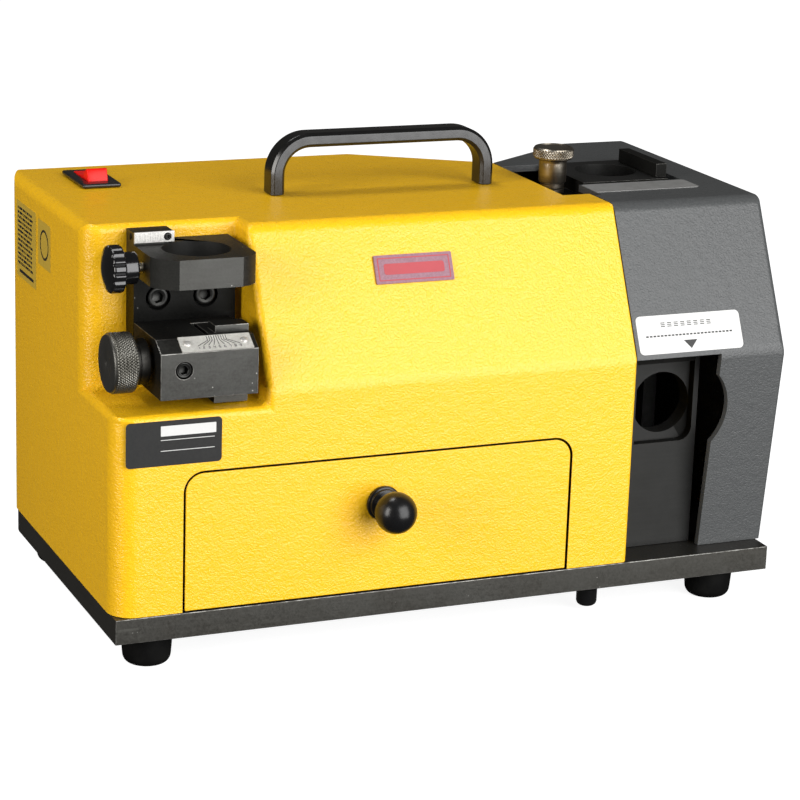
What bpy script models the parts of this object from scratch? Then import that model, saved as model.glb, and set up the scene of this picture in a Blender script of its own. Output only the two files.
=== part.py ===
"""Bench sharpener for drill bits and end mills, as separate solids.

Lengths in this file are in millimetres in a layout frame (X along the front
from the base plate's left end, Y to the back from its front edge, Z up from
its top face). place() turns them into metres about ORIGIN, the middle of the
machine's footprint at the height of the floor. +Z is up, the front faces -Y.
"""

import math

import bmesh
import bpy
from mathutils import Matrix, Vector

for old in list(bpy.data.objects):
    bpy.data.objects.remove(old, do_unlink=True)

MM = 0.001
GAP = 0.3  # between neighbouring pieces

# Base plate and feet
PLATE_L, PLATE_D, PLATE_T = 350.0, 187.0, 12.5
PLATE_CORNER_R = 16.0
FOOT_R_TOP, FOOT_R_LOW, FOOT_H = 12.5, 10.7, 15.9
FOOT_INSET = 18.0
FLOOR_Z = -PLATE_T - GAP - FOOT_H

# Covers: section in Y and Z, shared by both
CASE_X0 = -0.8
CASE_D = 187.0
CREASE_Z = 106.0
TOP_Z = 177.4
TOP_Y = 34.8
CASE_T = 3.0
COVER_SPLIT_X = 252.5  # yellow to grey, behind the jog
COVER_X1 = 352.3  # right end of the grey cover, which overhangs the plate
COVER_FRONT_X = 267.5  # yellow to grey, in front of the jog
JOG_Y = 60.0
VEE_Y = 146.0  # tip of the V recess in the back
VEE_X0, VEE_X1 = 185.0, 314.0
LEAN_Y = 12.0  # how far the grey lower front leans in at the bottom

# Corner notch with the tool-setting bracket
NOTCH_X, NOTCH_Y, NOTCH_Z = 74.0, 50.0, 98.0
BRACKET_X0, BRACKET_X1 = 20.0, 70.2
BRACKET_Y0, BRACKET_Y1 = 38.0, 49.7
BRACKET_Z0, ARM_Z0, ARM_Z1, STUB_Z1 = 104.0, 156.0, 170.0, 175.6
BORE_R = 16.2
ARM_BORE = (46.0, 24.5)
ARM_FRONT_Y = 2.4

# Drawer
DRAWER_X0, DRAWER_X1, DRAWER_Z1, DRAWER_R = 34.0, 233.3, 68.4, 9.0
DRAWER_DEPTH = 70.0

# Grinding chamber
MOTOR_Y, MOTOR_Z = 112.0, 80.0
WHEEL_R = 45.0
SHELF_BORE = (295.7, 75.0)  # X, Z of the front shelf's bore
TOP_BORE = (301.6, 110.5)  # X, Y of the top shelf's bore
THUMB = (262.5, 94.0)

# Carry handle
HANDLE_X0, HANDLE_X1, HANDLE_Y = 111.3, 224.5, 98.3
HANDLE_Z, HANDLE_BEND_R = 204.4, 17.0

# Inlet flange is the rearmost face, the drawer knob the foremost point
KNOB_BALL_Y, KNOB_BALL_R = -16.2, 9.9
INLET_Y = CASE_D + 2.3
ORIGIN = Vector(
    (
        (CASE_X0 + COVER_X1) / 2,
        (KNOB_BALL_Y - KNOB_BALL_R + INLET_Y) / 2,
        FLOOR_Z,
    )
)


def material(name, rgb, roughness, metallic=0.0):
    made = bpy.data.materials.new(name)
    made.use_nodes = True
    shader = made.node_tree.nodes["Principled BSDF"]
    shader.inputs["Base Color"].default_value = (*rgb, 1.0)
    shader.inputs["Roughness"].default_value = roughness
    shader.inputs["Metallic"].default_value = metallic
    made.diffuse_color = (*rgb, 1.0)
    return made


YELLOW = material("yellow_powder_coat", (0.82, 0.55, 0.02), 0.42)
GREY = material("grey_powder_coat", (0.075, 0.078, 0.085), 0.55)
BLACKENED = material("blackened_steel", (0.06, 0.06, 0.058), 0.45, 0.7)
STEEL = material("bright_steel", (0.55, 0.55, 0.54), 0.3, 1.0)
NICKEL = material("nickel", (0.50, 0.46, 0.40), 0.3, 1.0)
BLACK_GLOSS = material("black_plastic_gloss", (0.01, 0.01, 0.011), 0.2)
BLACK_PAINT = material("black_paint", (0.015, 0.015, 0.016), 0.35)
RED = material("red_plastic", (0.75, 0.02, 0.02), 0.3)
RUBBER = material("black_rubber", (0.02, 0.02, 0.021), 0.8)
SILVER = material("silver_plate", (0.62, 0.61, 0.58), 0.35, 0.9)
LILAC = material("pale_plate", (0.62, 0.50, 0.58), 0.4, 0.3)
ZINC = material("zinc_sheet", (0.45, 0.46, 0.47), 0.4, 0.9)
CAST = material("cast_aluminium", (0.42, 0.42, 0.42), 0.5, 0.9)
COPPER = material("rotor_laminations", (0.30, 0.26, 0.22), 0.5, 0.8)
ABRASIVE = material("abrasive", (0.16, 0.17, 0.16), 0.85)
WHITE = material("white_plastic", (0.75, 0.74, 0.70), 0.5)


def place(name, bm, mat, pivot=(0.0, 0.0, 0.0), flat=35.0):
    """Makes an object of a bmesh in layout millimetres, with its origin at pivot."""
    pivot = Vector(pivot)
    bmesh.ops.recalc_face_normals(bm, faces=bm.faces)
    bmesh.ops.transform(bm, matrix=Matrix.Translation(-pivot), verts=bm.verts)
    bmesh.ops.scale(bm, vec=(MM, MM, MM), verts=bm.verts)
    mesh = bpy.data.meshes.new(name)
    bm.to_mesh(mesh)
    bm.free()
    mesh.materials.append(mat)
    obj = bpy.data.objects.new(name, mesh)
    obj.location = (pivot - ORIGIN) * MM
    bpy.context.scene.collection.objects.link(obj)
    soften(obj, flat)
    return obj


def soften(obj, flat=35.0):
    obj.data.shade_smooth()
    obj.data.set_sharp_from_angle(angle=math.radians(flat))


def settle(obj):
    """Applies an object's modifiers to its mesh."""
    bpy.context.view_layer.update()
    graph = bpy.context.evaluated_depsgraph_get()
    mesh = bpy.data.meshes.new_from_object(obj.evaluated_get(graph))
    obj.modifiers.clear()
    old_mesh = obj.data
    obj.data = mesh
    bpy.data.meshes.remove(old_mesh)
    mesh.name = obj.name


def combine(obj, tools, operation="DIFFERENCE"):
    """Applies an exact Boolean of each tool, and removes the tools."""
    for tool in tools:
        modifier = obj.modifiers.new("boolean", "BOOLEAN")
        modifier.operation = operation
        modifier.solver = "EXACT"
        modifier.object = tool
        settle(obj)
        bpy.data.objects.remove(tool, do_unlink=True)
    return obj


def tool(bm):
    made = place("tool", bm, BLACKENED)
    made.hide_render = True
    made.display_type = "WIRE"
    return made


def box(lo, hi):
    bm = bmesh.new()
    bmesh.ops.create_cube(bm, size=1.0)
    lo, hi = Vector(lo), Vector(hi)
    bmesh.ops.scale(bm, vec=hi - lo, verts=bm.verts)
    bmesh.ops.translate(bm, vec=(lo + hi) / 2, verts=bm.verts)
    return bm


def at(axis, u, v, w):
    """Point with (u, v) across the axis and w along it, in X, Y, Z order."""
    if axis == "X":
        return Vector((w, u, v))
    if axis == "Y":
        return Vector((u, w, v))
    return Vector((u, v, w))


def prism(outline, axis, low, high):
    """Extrudes a closed outline, in the two other axes' coordinates, along an axis."""
    bm = bmesh.new()
    face = bm.faces.new([bm.verts.new(at(axis, u, v, low)) for u, v in outline])
    grown = bmesh.ops.extrude_face_region(bm, geom=[face])
    tops = [part for part in grown["geom"] if isinstance(part, bmesh.types.BMVert)]
    bmesh.ops.translate(bm, vec=at(axis, 0, 0, high - low), verts=tops)
    return bm


def rod(axis, centre, radius, low, high, sides=32):
    u0, v0 = centre
    turn = 2 * math.pi / sides
    outline = [
        (u0 + radius * math.cos(i * turn), v0 + radius * math.sin(i * turn))
        for i in range(sides)
    ]
    return prism(outline, axis, low, high)


def turned(axis, centre, profile, sides=32, ring=False):
    """Turns a profile of (place along the axis, radius). A ring closes on itself."""
    bm = bmesh.new()
    u0, v0 = centre
    turn = 2 * math.pi / sides
    loops = []
    for along, radius in profile:
        count = sides if radius > 0 else 1
        loops.append(
            [
                bm.verts.new(
                    at(
                        axis,
                        u0 + radius * math.cos(i * turn),
                        v0 + radius * math.sin(i * turn),
                        along,
                    )
                )
                for i in range(count)
            ]
        )
    pairs = list(zip(loops, loops[1:]))
    if ring:
        pairs.append((loops[-1], loops[0]))
    for a, b in pairs:
        for i in range(sides):
            j = (i + 1) % sides
            if len(a) == 1:
                bm.faces.new((a[0], b[j], b[i]))
            elif len(b) == 1:
                bm.faces.new((a[i], a[j], b[0]))
            else:
                bm.faces.new((a[i], a[j], b[j], b[i]))
    if not ring:
        for loop in (loops[0], loops[-1]):
            if len(loop) > 1:
                bm.faces.new(loop)
    return bm


def inset_outline(points, depth):
    """Moves each side of a counter-clockwise outline inwards by its depth."""
    count = len(points)
    depths = depth if isinstance(depth, list) else [depth] * count
    lines = []
    for i in range(count):
        p, q = Vector(points[i]), Vector(points[(i + 1) % count])
        along = (q - p).normalized()
        inward = Vector((-along.y, along.x))
        lines.append((p + inward * depths[i], along))
    moved = []
    for i in range(count):
        p, d = lines[i - 1]
        q, e = lines[i]
        cross = d.x * e.y - d.y * e.x
        t = ((q - p).x * e.y - (q - p).y * e.x) / cross
        moved.append(tuple(p + d * t))
    return moved


def on_segment(point, p, q):
    along = q - p
    t = (point - p).dot(along) / along.length_squared
    near = p + along * min(max(t, 0.0), 1.0)
    return (point - near).length < 0.05


def round_edges(obj, rules, segments=4):
    """Bevels the edges that lie along given lines, each with its own width."""
    widest = max(width for _, _, width in rules)
    bm = bmesh.new()
    bm.from_mesh(obj.data)
    bmesh.ops.dissolve_limit(
        bm, angle_limit=math.radians(0.5), verts=bm.verts, edges=bm.edges
    )
    weights = bm.edges.layers.float.new("bevel_weight_edge")
    shift = obj.location.copy()
    used = [0] * len(rules)
    for edge in bm.edges:
        ends = [(v.co + shift) / MM + ORIGIN for v in edge.verts]
        for i, (p, q, width) in enumerate(rules):
            if all(on_segment(end, Vector(p), Vector(q)) for end in ends):
                edge[weights] = width / widest
                used[i] += 1
    bm.to_mesh(obj.data)
    bm.free()
    for rule, count in zip(rules, used):
        if not count:
            print("no edge lies along", rule)
    modifier = obj.modifiers.new("round", "BEVEL")
    modifier.limit_method = "WEIGHT"
    modifier.width = widest * MM
    modifier.segments = segments
    modifier.use_clamp_overlap = True
    settle(obj)
    return obj


def round_all(obj, width, segments=2, angle=40.0):
    modifier = obj.modifiers.new("round", "BEVEL")
    modifier.limit_method = "ANGLE"
    modifier.angle_limit = math.radians(angle)
    modifier.width = width * MM
    modifier.segments = segments
    settle(obj)
    soften(obj)
    return obj


def arc(centre, radius, start, end, steps):
    """Points of an arc in degrees, both ends included."""
    return [
        (
            centre[0] + radius * math.cos(math.radians(start + (end - start) * i / steps)),
            centre[1] + radius * math.sin(math.radians(start + (end - start) * i / steps)),
        )
        for i in range(steps + 1)
    ]


# ---------------------------------------------------------------- base plate
plate_outline = (
    [(0.0, 0.0), (PLATE_L, 0.0)]
    + arc((PLATE_L - PLATE_CORNER_R, PLATE_D - PLATE_CORNER_R), PLATE_CORNER_R, 0, 90, 6)
    + arc((PLATE_CORNER_R, PLATE_D - PLATE_CORNER_R), PLATE_CORNER_R, 90, 180, 6)
)
base_plate = place(
    "base_plate", prism(plate_outline, "Z", -PLATE_T, 0.0), BLACKENED
)
feet_at = {
    "front_left": (21.0, FOOT_INSET),
    "front_right": (326.0, FOOT_INSET),
    "rear_left": (21.0, PLATE_D - FOOT_INSET),
    "rear_right": (326.0, PLATE_D - FOOT_INSET),
}
BOLT_AT = (254.0, 14.5)
combine(
    base_plate,
    [tool(rod("Z", spot, 2.2, -PLATE_T - 1, 1, 16)) for spot in feet_at.values()]
    + [tool(rod("Z", BOLT_AT, 3.3, -PLATE_T - 1, 1, 16))],
)

foot_low, foot_high = FLOOR_Z, -PLATE_T - GAP
foot_profile = [
    (foot_high, 2.3),
    (foot_high, FOOT_R_TOP),
    (foot_low + 3.0, FOOT_R_TOP - 1.1),
    (foot_low + 0.8, FOOT_R_TOP - 2.2),
    (foot_low, FOOT_R_TOP - 4.2),
    (foot_low, 5.0),
    (foot_low + 6.0, 5.0),
    (foot_low + 6.0, 2.3),
]
screw_profile = [
    (foot_low + 2.6, 0.0),
    (foot_low + 3.4, 3.4),
    (foot_low + 4.4, 4.1),
    (foot_low + 5.7, 4.1),
    (foot_low + 5.7, 1.9),
    (-3.0, 1.9),
    (-3.0, 0.0),
]
for where, spot in feet_at.items():
    place(
        "foot_" + where,
        turned("Z", spot, foot_profile, 24, ring=True),
        RUBBER,
        (*spot, foot_low),
    )
    place(
        "foot_screw_" + where,
        turned("Z", spot, screw_profile, 16),
        STEEL,
        (*spot, foot_low),
    )
place(
    "base_bolt",
    turned(
        "Z",
        BOLT_AT,
        [
            (-25.8, 0.0),
            (-25.8, 3.6),
            (-25.0, 4.9),
            (-23.5, 5.3),
            (-16.6, 5.3),
            (-15.6, 4.3),
            (-PLATE_T - GAP, 4.3),
            (-PLATE_T - GAP, 3.0),
            (-2.0, 3.0),
            (-2.0, 0.0),
        ],
        20,
    ),
    BLACK_PAINT,
    (*BOLT_AT, -PLATE_T),
)

# ------------------------------------------------------------- yellow cover
section = [
    (0.0, GAP),
    (CASE_D, GAP),
    (CASE_D, TOP_Z),
    (TOP_Y, TOP_Z),
    (0.0, CREASE_Z),
]
yellow_plan = [
    (CASE_X0, -5.0),
    (COVER_FRONT_X, -5.0),
    (COVER_FRONT_X, JOG_Y),
    (COVER_SPLIT_X, JOG_Y),
    (COVER_SPLIT_X, VEE_Y),
    (VEE_X0, CASE_D),
    (VEE_X0, CASE_D + 9.0),
    (CASE_X0, CASE_D + 9.0),
]
main_casing = place("main_casing", prism(section, "X", -20.0, 300.0), YELLOW)
combine(main_casing, [tool(prism(yellow_plan, "Z", -30.0, 220.0))], "INTERSECT")
combine(main_casing, [tool(box((-30, -30, NOTCH_Z), (NOTCH_X, NOTCH_Y, 230)))])
slope_at_notch = TOP_Y
round_edges(
    main_casing,
    [
        ((CASE_X0, 0, GAP), (CASE_X0, 0, NOTCH_Z), 12.0),
        ((CASE_X0, 0, NOTCH_Z), (NOTCH_X, 0, NOTCH_Z), 3.5),
        ((CASE_X0, 0, NOTCH_Z), (CASE_X0, NOTCH_Y, NOTCH_Z), 3.5),
        ((CASE_X0, NOTCH_Y, NOTCH_Z), (CASE_X0, NOTCH_Y, TOP_Z), 10.0),
        ((CASE_X0, NOTCH_Y, TOP_Z), (NOTCH_X, NOTCH_Y, TOP_Z), 4.0),
        ((CASE_X0, NOTCH_Y, NOTCH_Z), (NOTCH_X, NOTCH_Y, NOTCH_Z), 3.5),
        ((NOTCH_X, NOTCH_Y, NOTCH_Z), (NOTCH_X, NOTCH_Y, TOP_Z), 2.2),
        ((NOTCH_X, 0, NOTCH_Z), (NOTCH_X, NOTCH_Y, NOTCH_Z), 3.5),
        ((NOTCH_X, 0, NOTCH_Z), (NOTCH_X, 0, CREASE_Z), 3.5),
        ((NOTCH_X, 0, CREASE_Z), (NOTCH_X, TOP_Y, TOP_Z), 3.5),
        ((NOTCH_X, TOP_Y, TOP_Z), (NOTCH_X, NOTCH_Y, TOP_Z), 4.0),
        ((NOTCH_X, 0, CREASE_Z), (COVER_FRONT_X, 0, CREASE_Z), 3.0),
        ((NOTCH_X, TOP_Y, TOP_Z), (COVER_FRONT_X, TOP_Y, TOP_Z), 5.0),
        ((CASE_X0, NOTCH_Y, TOP_Z), (CASE_X0, CASE_D, TOP_Z), 5.5),
        ((CASE_X0, CASE_D, GAP), (CASE_X0, CASE_D, TOP_Z), 16.0),
        ((CASE_X0, CASE_D, TOP_Z), (VEE_X0, CASE_D, TOP_Z), 1.5),
        ((VEE_X0, CASE_D, TOP_Z), (COVER_SPLIT_X, VEE_Y, TOP_Z), 1.2),
        ((VEE_X0, CASE_D, GAP), (VEE_X0, CASE_D, TOP_Z), 4.0),
    ],
    segments=4,
)

inner_section = inset_outline(section, [0.0] + [CASE_T] * 4)
inner_section = [(y, z if z > 5 else -5.0) for y, z in inner_section]
inner_plan = inset_outline(yellow_plan, CASE_T)
hollow = place("hollow", prism(inner_section, "X", -20.0, 300.0), YELLOW)
combine(hollow, [tool(prism(inner_plan, "Z", -30.0, 220.0))], "INTERSECT")
combine(
    hollow,
    [
        tool(
            box(
                (-30, -30, NOTCH_Z - CASE_T),
                (NOTCH_X + CASE_T, NOTCH_Y + CASE_T, 230),
            )
        )
    ],
)
x_in, y_in, back_in, top_in = (
    CASE_X0 + CASE_T,
    CASE_T,
    CASE_D - CASE_T,
    TOP_Z - CASE_T,
)
round_edges(
    hollow,
    [
        ((x_in, y_in, -5), (x_in, y_in, NOTCH_Z - CASE_T), 9.0),
        ((x_in, back_in, -5), (x_in, back_in, top_in), 13.0),
        ((x_in, NOTCH_Y + CASE_T, NOTCH_Z - CASE_T), (x_in, NOTCH_Y + CASE_T, top_in), 7.0),
        ((x_in, NOTCH_Y + CASE_T, top_in), (x_in, back_in, top_in), 3.0),
    ],
    segments=3,
)
combine(main_casing, [hollow])

drawer_hole = [
    (DRAWER_X0 - 1.2, -5.0),
    (DRAWER_X1 + 1.2, -5.0),
] + [
    (x, z)
    for x, z in arc(
        (DRAWER_X1 - DRAWER_R, DRAWER_Z1 - DRAWER_R), DRAWER_R + 1.2, 0, 90, 6
    )
    + arc((DRAWER_X0 + DRAWER_R, DRAWER_Z1 - DRAWER_R), DRAWER_R + 1.2, 90, 180, 6)
]
SWITCH_LO, SWITCH_HI = (25.0, 133.0), (40.0, 165.0)
SCREWS_X, SCREWS_Z = (32.0, 55.4), 144.1
combine(
    main_casing,
    [
        tool(prism(drawer_hole, "Y", -6.0, 10.0)),
        tool(
            box(
                (SWITCH_LO[0] - GAP, SWITCH_LO[1] - GAP, 165),
                (SWITCH_HI[0] + GAP, SWITCH_HI[1] + GAP, 190),
            )
        ),
        tool(rod("X", (MOTOR_Y, MOTOR_Z), 16.0, 245, 258, 28)),
        tool(rod("Z", (HANDLE_X0, HANDLE_Y), 2.9, 165, 190, 16)),
        tool(rod("Z", (HANDLE_X1, HANDLE_Y), 2.9, 165, 190, 16)),
        tool(rod("Y", (SCREWS_X[0], SCREWS_Z), 3.3, 45, 60, 16)),
        tool(rod("Y", (SCREWS_X[1], SCREWS_Z), 3.3, 45, 60, 16)),
        tool(box((40.0, 178, 27.7), (70.6, 195, 51.3))),
    ],
)
soften(main_casing)

# --------------------------------------------------------------- grey cover
grey_section = [
    (LEAN_Y, GAP + 0.4),
    (CASE_D, GAP + 0.4),
    (CASE_D, TOP_Z),
    (TOP_Y, TOP_Z),
    (0.0, CREASE_Z),
]
GREY_T = 3.5
split, front = COVER_SPLIT_X + GAP, COVER_FRONT_X + GAP
grey_plan = [
    (front, -5.0),
    (COVER_X1, -5.0),
    (COVER_X1, CASE_D + 9.0),
    (VEE_X1, CASE_D + 9.0),
    (VEE_X1, CASE_D),
    (split, VEE_Y),
    (split, JOG_Y + GAP),
    (front, JOG_Y + GAP),
]
end_casing = place("end_casing", prism(grey_section, "X", 200.0, 400.0), GREY)
combine(end_casing, [tool(prism(grey_plan, "Z", -30.0, 220.0))], "INTERSECT")
round_edges(
    end_casing,
    [
        ((front, 0, CREASE_Z), (COVER_X1, 0, CREASE_Z), 3.5),
        ((front, TOP_Y, TOP_Z), (COVER_X1, TOP_Y, TOP_Z), 5.0),
        ((COVER_X1, 0, CREASE_Z), (COVER_X1, TOP_Y, TOP_Z), 3.5),
        ((COVER_X1, LEAN_Y, GAP + 0.4), (COVER_X1, 0, CREASE_Z), 1.8),
        ((COVER_X1, TOP_Y, TOP_Z), (COVER_X1, CASE_D, TOP_Z), 2.5),
        ((COVER_X1, CASE_D, GAP + 0.4), (COVER_X1, CASE_D, TOP_Z), 15.0),
        ((VEE_X1, CASE_D, TOP_Z), (COVER_X1, CASE_D, TOP_Z), 1.5),
        ((split, VEE_Y, TOP_Z), (VEE_X1, CASE_D, TOP_Z), 1.2),
        ((VEE_X1, CASE_D, GAP + 0.4), (VEE_X1, CASE_D, TOP_Z), 4.0),
    ],
    segments=4,
)
inner_section = inset_outline(grey_section, [0.0] + [GREY_T] * 4)
inner_section[0] = (inner_section[0][0] + 0.6, -5.0)
inner_section[1] = (inner_section[1][0], -5.0)
slant = Vector((VEE_X1 - split, CASE_D - VEE_Y)).normalized()
foot_of = Vector((VEE_X1, CASE_D)) + Vector((slant.y, -slant.x)) * GREY_T
back_y = CASE_D - GREY_T
knee_x = foot_of.x - (foot_of.y - back_y) / slant.y * slant.x
open_x = split - 12.0
inner_plan = [
    (open_x, -9.0),
    (COVER_X1 - GREY_T, -9.0),
    (COVER_X1 - GREY_T, back_y),
    (knee_x, back_y),
    (open_x, foot_of.y - (foot_of.x - open_x) / slant.x * slant.y),
]
hollow = place("hollow", prism(inner_section, "X", 200.0, 400.0), GREY)
combine(hollow, [tool(prism(inner_plan, "Z", -30.0, 220.0))], "INTERSECT")
round_edges(
    hollow,
    [
        (
            (COVER_X1 - GREY_T, back_y, -5),
            (COVER_X1 - GREY_T, back_y, TOP_Z - GREY_T),
            12.0,
        )
    ],
    segments=3,
)
combine(end_casing, [hollow])
OPEN_X0, OPEN_X1, OPEN_Y0, OPEN_Y1 = 248.0, 331.0, 81.0, 135.0
combine(
    end_casing,
    [
        tool(box((248, -20, -5), (315.4, 18, 105.3))),
        tool(rod("Y", (SHELF_BORE[0], SHELF_BORE[1] + 0.9), 26.6, -20, 18, 48)),
        tool(
            prism(
                [
                    (OPEN_X0, JOG_Y - 5.0),
                    (271.5, JOG_Y - 5.0),
                    (271.5, OPEN_Y0),
                    (OPEN_X1, OPEN_Y0),
                    (OPEN_X1, OPEN_Y1),
                    (OPEN_X0, OPEN_Y1),
                ],
                "Z",
                165.0,
                190.0,
            )
        ),
    ],
)
soften(end_casing)

# ------------------------------------------------------------- carry handle
half, deep, chamfer = 3.6, 6.3, 1.5
handle_section = [
    (half - chamfer, -deep),
    (half, -deep + chamfer),
    (half, deep - chamfer),
    (half - chamfer, deep),
    (-half + chamfer, deep),
    (-half, deep - chamfer),
    (-half, -deep + chamfer),
    (-half + chamfer, -deep),
]
bend_z = HANDLE_Z - HANDLE_BEND_R
handle_path = [(HANDLE_X0, TOP_Z + GAP)]
handle_path += arc((HANDLE_X0 + HANDLE_BEND_R, bend_z), HANDLE_BEND_R, 180, 90, 8)
handle_path += arc((HANDLE_X1 - HANDLE_BEND_R, bend_z), HANDLE_BEND_R, 90, 0, 8)
handle_path += [(HANDLE_X1, TOP_Z + GAP)]
bm = bmesh.new()
rings = []
for i, (x, z) in enumerate(handle_path):
    before = Vector(handle_path[max(i - 1, 0)])
    after = Vector(handle_path[min(i + 1, len(handle_path) - 1)])
    if i in (0, len(handle_path) - 1):
        along = Vector((0, 1)) if i == 0 else Vector((0, -1))
    elif i in (1, len(handle_path) - 2):
        along = Vector((0, 1)) if i == 1 else Vector((0, -1))
    else:
        along = (after - before).normalized()
    side = Vector((-along.y, along.x))
    rings.append(
        [
            bm.verts.new((x + side.x * a, HANDLE_Y + b, z + side.y * a))
            for a, b in handle_section
        ]
    )
for low, high in zip(rings, rings[1:]):
    for i in range(8):
        j = (i + 1) % 8
        bm.faces.new((low[i], low[j], high[j], high[i]))
bm.faces.new(rings[0])
bm.faces.new(rings[-1])
carry_handle = place("carry_handle", bm, BLACK_PAINT)
combine(
    carry_handle,
    [
        tool(rod("Z", (x, HANDLE_Y), 2.7, 170, 189, 16))
        for x in (HANDLE_X0, HANDLE_X1)
    ],
)
soften(carry_handle)
for side, x in (("left", HANDLE_X0), ("right", HANDLE_X1)):
    place(
        "handle_screw_" + side,
        turned(
            "Z",
            (x, HANDLE_Y),
            [
                (169.6, 0.0),
                (169.6, 4.4),
                (170.4, 5.0),
                (TOP_Z - CASE_T - GAP, 5.0),
                (TOP_Z - CASE_T - GAP, 2.4),
                (188.5, 2.4),
                (188.5, 0.0),
            ],
            16,
        ),
        STEEL,
        (x, HANDLE_Y, TOP_Z),
    )

# ------------------------------------------------------------ rocker switch
BEZEL_LO, BEZEL_HI, BEZEL_Z = (22.5, 130.0), (42.5, 168.0), 179.9
ROCKER_X0, ROCKER_X1, ROCKER_Y0, ROCKER_Y1 = 27.3, 37.7, 137.4, 163.0
switch_body = place(
    "switch_body",
    box((*BEZEL_LO, TOP_Z + GAP), (*BEZEL_HI, BEZEL_Z)),
    BLACK_GLOSS,
)
round_all(switch_body, 1.1, 2)
combine(
    switch_body, [tool(box((*SWITCH_LO, 152.0), (*SWITCH_HI, 178.6)))], "UNION"
)
combine(
    switch_body,
    [
        tool(
            box(
                (ROCKER_X0 - 0.4, ROCKER_Y0 - 0.8, 162.0),
                (ROCKER_X1 + 0.4, ROCKER_Y1 + 0.8, 190.0),
            )
        )
    ],
)
soften(switch_body)
ROCKER_PIVOT = ((ROCKER_X0 + ROCKER_X1) / 2, (ROCKER_Y0 + ROCKER_Y1) / 2, 179.0)
rocker_side = [
    (ROCKER_Y0, 170.0),
    (ROCKER_Y1 - 2.4, 170.0),
    (ROCKER_Y1, 176.4),
    (ROCKER_Y1, 179.7),
    (ROCKER_Y1 - 1.0, 180.3),
    (148.6, 181.2),
    (140.6, 185.6),
    (139.5, 185.6),
    (139.0, 184.9),
    (ROCKER_Y0, 179.0),
]
switch_rocker = place(
    "switch_rocker",
    prism(rocker_side, "X", ROCKER_X0, ROCKER_X1),
    RED,
    ROCKER_PIVOT,
)
round_all(switch_rocker, 0.45, 2)

# ------------------------------------------------------------------- drawer
drawer_outline = [(DRAWER_X0, 0.8), (DRAWER_X1, 0.8)] + [
    (x, z)
    for x, z in arc((DRAWER_X1 - DRAWER_R, DRAWER_Z1 - DRAWER_R), DRAWER_R, 0, 90, 6)
    + arc((DRAWER_X0 + DRAWER_R, DRAWER_Z1 - DRAWER_R), DRAWER_R, 90, 180, 6)
]
place("drawer_front", prism(drawer_outline, "Y", 0.0, CASE_T), YELLOW)
TRAY = ((40.0, 3.4, 2.5), (227.0, DRAWER_DEPTH, 58.0))
tray = place("drawer_tray", box(*TRAY), ZINC)
combine(
    tray,
    [
        tool(
            box(
                (TRAY[0][0] + 1.5, TRAY[0][1] + 1.5, TRAY[0][2] + 1.5),
                (TRAY[1][0] - 1.5, TRAY[1][1] - 1.5, 80.0),
            )
        )
    ],
)
knob_x, knob_z = (DRAWER_X0 + DRAWER_X1) / 2, 45.0
ball = [
    (
        KNOB_BALL_Y + KNOB_BALL_R * math.sin(math.radians(a)),
        KNOB_BALL_R * math.cos(math.radians(a)),
    )
    for a in range(-70, 51, 20)
]
place(
    "drawer_knob",
    turned(
        "Y",
        (knob_x, knob_z),
        [(KNOB_BALL_Y - KNOB_BALL_R, 0.0)]
        + ball
        + [(-4.4, 4.8), (-3.2, 7.6), (-1.6, 8.6), (-GAP, 8.6), (-GAP, 0.0)],
        28,
    ),
    BLACK_GLOSS,
    (knob_x, 0.0, knob_z),
)
for side, x0, x1 in (("left", 35.4, 39.2), ("right", 227.8, 231.6)):
    place("drawer_rail_" + side, box((x0, 7.0, GAP), (x1, 74.0, 16.0)), ZINC)

# ---------------------------------------------------- tool-setting bracket
arm_outline = [
    (BRACKET_X0, BRACKET_Y1),
    (BRACKET_X0, 13.4),
    (20.7, 10.9),
    (23.1, 7.2),
    (26.6, 4.1),
    (30.6, ARM_FRONT_Y),
    (2 * ARM_BORE[0] - 30.6, ARM_FRONT_Y),
    (2 * ARM_BORE[0] - 26.6, 4.1),
    (2 * ARM_BORE[0] - 23.1, 7.2),
    (BRACKET_X1, 10.2),
    (BRACKET_X1, BRACKET_Y1),
]
bracket = place("setting_bracket", prism(arm_outline, "Z", ARM_Z0, ARM_Z1), BLACKENED)
combine(
    bracket,
    [
        tool(
            box(
                (BRACKET_X0, BRACKET_Y0, BRACKET_Z0),
                (BRACKET_X1, BRACKET_Y1, ARM_Z0 + 4.0),
            )
        ),
        tool(box((BRACKET_X0, BRACKET_Y0, ARM_Z1 - 4.0), (39.5, BRACKET_Y1, STUB_Z1))),
    ],
    "UNION",
)
CLAMP_Z = 162.6
combine(
    bracket,
    [
        tool(rod("Z", ARM_BORE, BORE_R, 150, 180, 48)),
        tool(rod("Y", (SCREWS_X[0], SCREWS_Z), 6.1, 30, 44, 24)),
        tool(rod("Y", (SCREWS_X[1], SCREWS_Z), 6.1, 30, 44, 24)),
        tool(rod("Y", (SCREWS_X[0], SCREWS_Z), 3.3, 40, 55, 16)),
        tool(rod("Y", (SCREWS_X[1], SCREWS_Z), 3.3, 40, 55, 16)),
        tool(rod("X", (ARM_BORE[1], CLAMP_Z), 2.9, 15, 36, 16)),
        tool(rod("Y", (36.0, 173.5), 1.3, 30, 44, 12)),
    ],
)
soften(bracket)


def hexagon(centre, across, turn=0.0):
    radius = across / math.sqrt(3)
    return [
        (
            centre[0] + radius * math.cos(math.radians(60 * i + turn)),
            centre[1] + radius * math.sin(math.radians(60 * i + turn)),
        )
        for i in range(6)
    ]


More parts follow.
